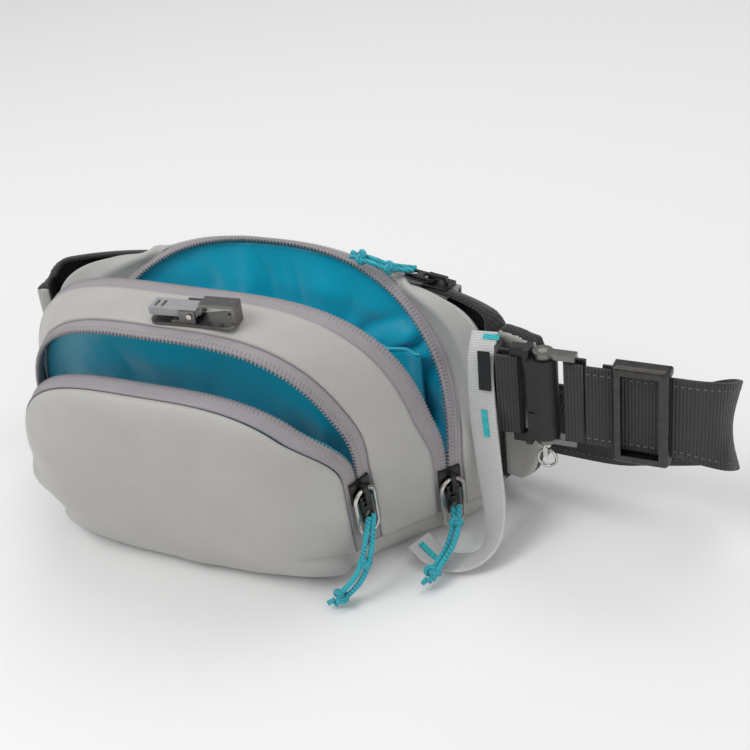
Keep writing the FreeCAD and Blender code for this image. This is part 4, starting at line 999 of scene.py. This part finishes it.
loop = {"width": 13.0, "cloth": 1.2}
loopRoute = [((113.2, 75.4, 90), (1, -0.29, 0)), ((113.6, 66.8, 79), (1, -0.25, 0)),
             ((115.8, 60.0, 58), (1, -0.2, 0)),
             ((119.6, 53.5, 37), (1, -0.25, 0.1)), ((123.4, 47.0, 20), (1, -0.35, 0.35)),
             ((125.2, 38.5, 8.6), (0.8, -0.55, 0.4)), ((122.0, 30.5, 3.8), (0.35, -0.9, 0.2)),
             ((113.0, 25.5, 2.2), (0.0, -1, 0.05)), ((103.0, 25.2, 3.6), (-0.3, -0.9, 0.1)),
             ((94.0, 28.6, 8.2), (-0.5, -0.85, 0.05))]
loopLine = smoothPath([toFrame(*p) for p, w in loopRoute], 14)
loopWide = smoothPath([Vector(w) for p, w in loopRoute], 14)
ribbonPiece("sideLoop", loopLine, loopWide, loop["width"], loop["cloth"], ribbonWebbing,
            "grey_webbing", ["side_loop"])
print("side loop sewn")

belt = {"width": 38.0, "cloth": 1.6}
buckleAt = Vector((142.1, 65.6, 68.0))
beltStart = buckleAt + Vector((18.6, -2.6, 0))
turnX = buckleAt.x + 42.4 + 15
beltRoute = [beltStart + Vector(((turnX - beltStart.x) * i / 5, 0, 0)) for i in range(6)]
beltRoute += [Vector((turnX + x, beltStart.y + y, buckleAt.z - drop)) for x, y, drop in (
    (8, 1.4, 1.0), (15, 6.0, 4.0), (18.4, 13.4, 8.5), (15.6, 21.6, 14.5), (7, 27.0, 20.0),
    (-6, 29.6, 25.0), (-24, 31.6, 30.0), (-42, 33.4, 33.5))]
beltRoute += [Vector((x, backEdge.plane(x, 0) + backPad + 3.4 + away, z)) for x, away, z in (
    (110, 8.0, 32), (86, 2.0, 31), (60, 0.4, 30), (30, 0, 30), (0, 0, 30),
    (-30, 0, 30.5), (-60, 0.6, 34), (-86, 4.4, 43))]
beltRoute += [Vector((-104, 103.0, 48)), Vector((-116.6, 99.4, 50))]
beltLine = smoothPath([toFrame(*p) for p in beltRoute], 8)
beltUp = [Vector((0, 0, 1))] * len(beltLine)
beltRows = ribbonPiece("waistBelt", beltLine, beltUp, belt["width"], belt["cloth"], beltWebbing,
                       "black_webbing", ["belt_webbing"], 13)
for row, tag in ((1, "Low"), (11, "High")):
    for face, sign in (("Front", -1), ("Back", 1)):
        offset = []
        for i, p in enumerate(beltRows[row]):
            ahead = (beltLine[min(i + 1, len(beltLine) - 1)] - beltLine[max(i - 1, 0)]).normalized()
            out = ahead.cross(Vector((0, 0, 1))).normalized()
            offset.append(p + out * sign * -(belt["cloth"] / 2 + 0.05) * mm)
        stitchRow(f"beltStitch{tag}{face}", offset, blackThread, slotName="black_webbing",
                  radius=0.3, length=1.6, gap=1.4)
print("belt run")


def dress(node, mat, bevel=0.0, segments=3):
    # a CAD piece whose shape is right keeps it and gets its finish and broken edges
    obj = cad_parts[node]
    for place in obj.material_slots:
        place.material = mat
    if not obj.material_slots:
        obj.data.materials.append(mat)
    if bevel:
        mod = obj.modifiers.new("softEdges", "BEVEL")
        mod.width = bevel * mm
        mod.segments = segments
        mod.limit_method = "ANGLE"
        mod.angle_limit = math.radians(35)
        mod.harden_normals = False
    return obj


finishes = {
    "front_slider": (gunmetal, 0.35), "main_slider": (gunmetal, 0.35), "rear_slider": (gunmetal, 0.35),
    "front_pull_tab": (gunmetal, 0.3), "main_pull_tab": (gunmetal, 0.3), "rear_pull_tab": (gunmetal, 0.3),
    "front_ring": (stainlessWire, 0), "main_ring": (stainlessWire, 0), "pin_ring": (stainlessWire, 0),
    "lock_plate": (pressedSteel, 0.4), "lock_bracket": (pressedSteel, 0.25),
    "lock_rivets": (pressedSteel, 0.2),
    "lock_rod": (stainlessWire, 0.25), "lock_clip": (clipFinish, 0.6),
    "buckle_housing": (mouldedNylon, 0.6), "locking_pin": (stainlessWire, 0.3), "pin_spring": (stainlessWire, 0),
    "steel_bracket": (pressedSteel, 0.5), "triglide": (gunmetal, 1.1),
    "rear_zip_tape": (solidTape, 0), "rear_zip_coil": (nylonCoil, 0),
    "wing_webbing": (foldedWebbing, 0.3), "strap_loop": (foldedWebbing, 0.3),
    "strap_tail": (foldedWebbing, 0.3),
    "bartacks": (barThread, 0.15), "label_tab": (labelWeave, 0.15),
}
for node, (mat, bevel) in finishes.items():
    dress(node, mat, bevel)
print("hardware finished")


def studio():
    square = ((0, 0), (1, 0), (1, 1), (0, 1))
    corners = [(6 * u - 3, 6 * v - 3, -0.0005) for u, v in square]
    paper = newMaterial("paperFloor", "#f2f2f2", 0.9)[0]
    floor = meshPiece("studioFloor", corners, [(0, 1, 2, 3)], paper, square)
    lamps = [("key", (-0.6, -0.7, 1.2), 0.8, 9.5), ("fill", (1.2, -0.6, 0.6), 0.9, 3.0),
             ("top", (0.1, 0.5, 1.4), 1.2, 7.5)]
    for name, place, size, power in lamps:
        data = bpy.data.lights.new(name, "AREA")
        data.size = size
        data.energy = power
        lamp = bpy.data.objects.new(name, data)
        bpy.context.scene.collection.objects.link(lamp)
        lamp.location = place
        lamp.rotation_euler = (Vector((0.04, 0, 0.05)) - Vector(place)).to_track_quat("-Z", "Y").to_euler()
    world = bpy.data.worlds.new("studio")
    world.use_nodes = True
    world.node_tree.nodes["Background"].inputs["Color"].default_value = hexColor("#ffffff")
    world.node_tree.nodes["Background"].inputs["Strength"].default_value = 0.42
    bpy.context.scene.world = world
    bpy.context.scene.view_settings.view_transform = "Standard"


studio()
print("scene ready")
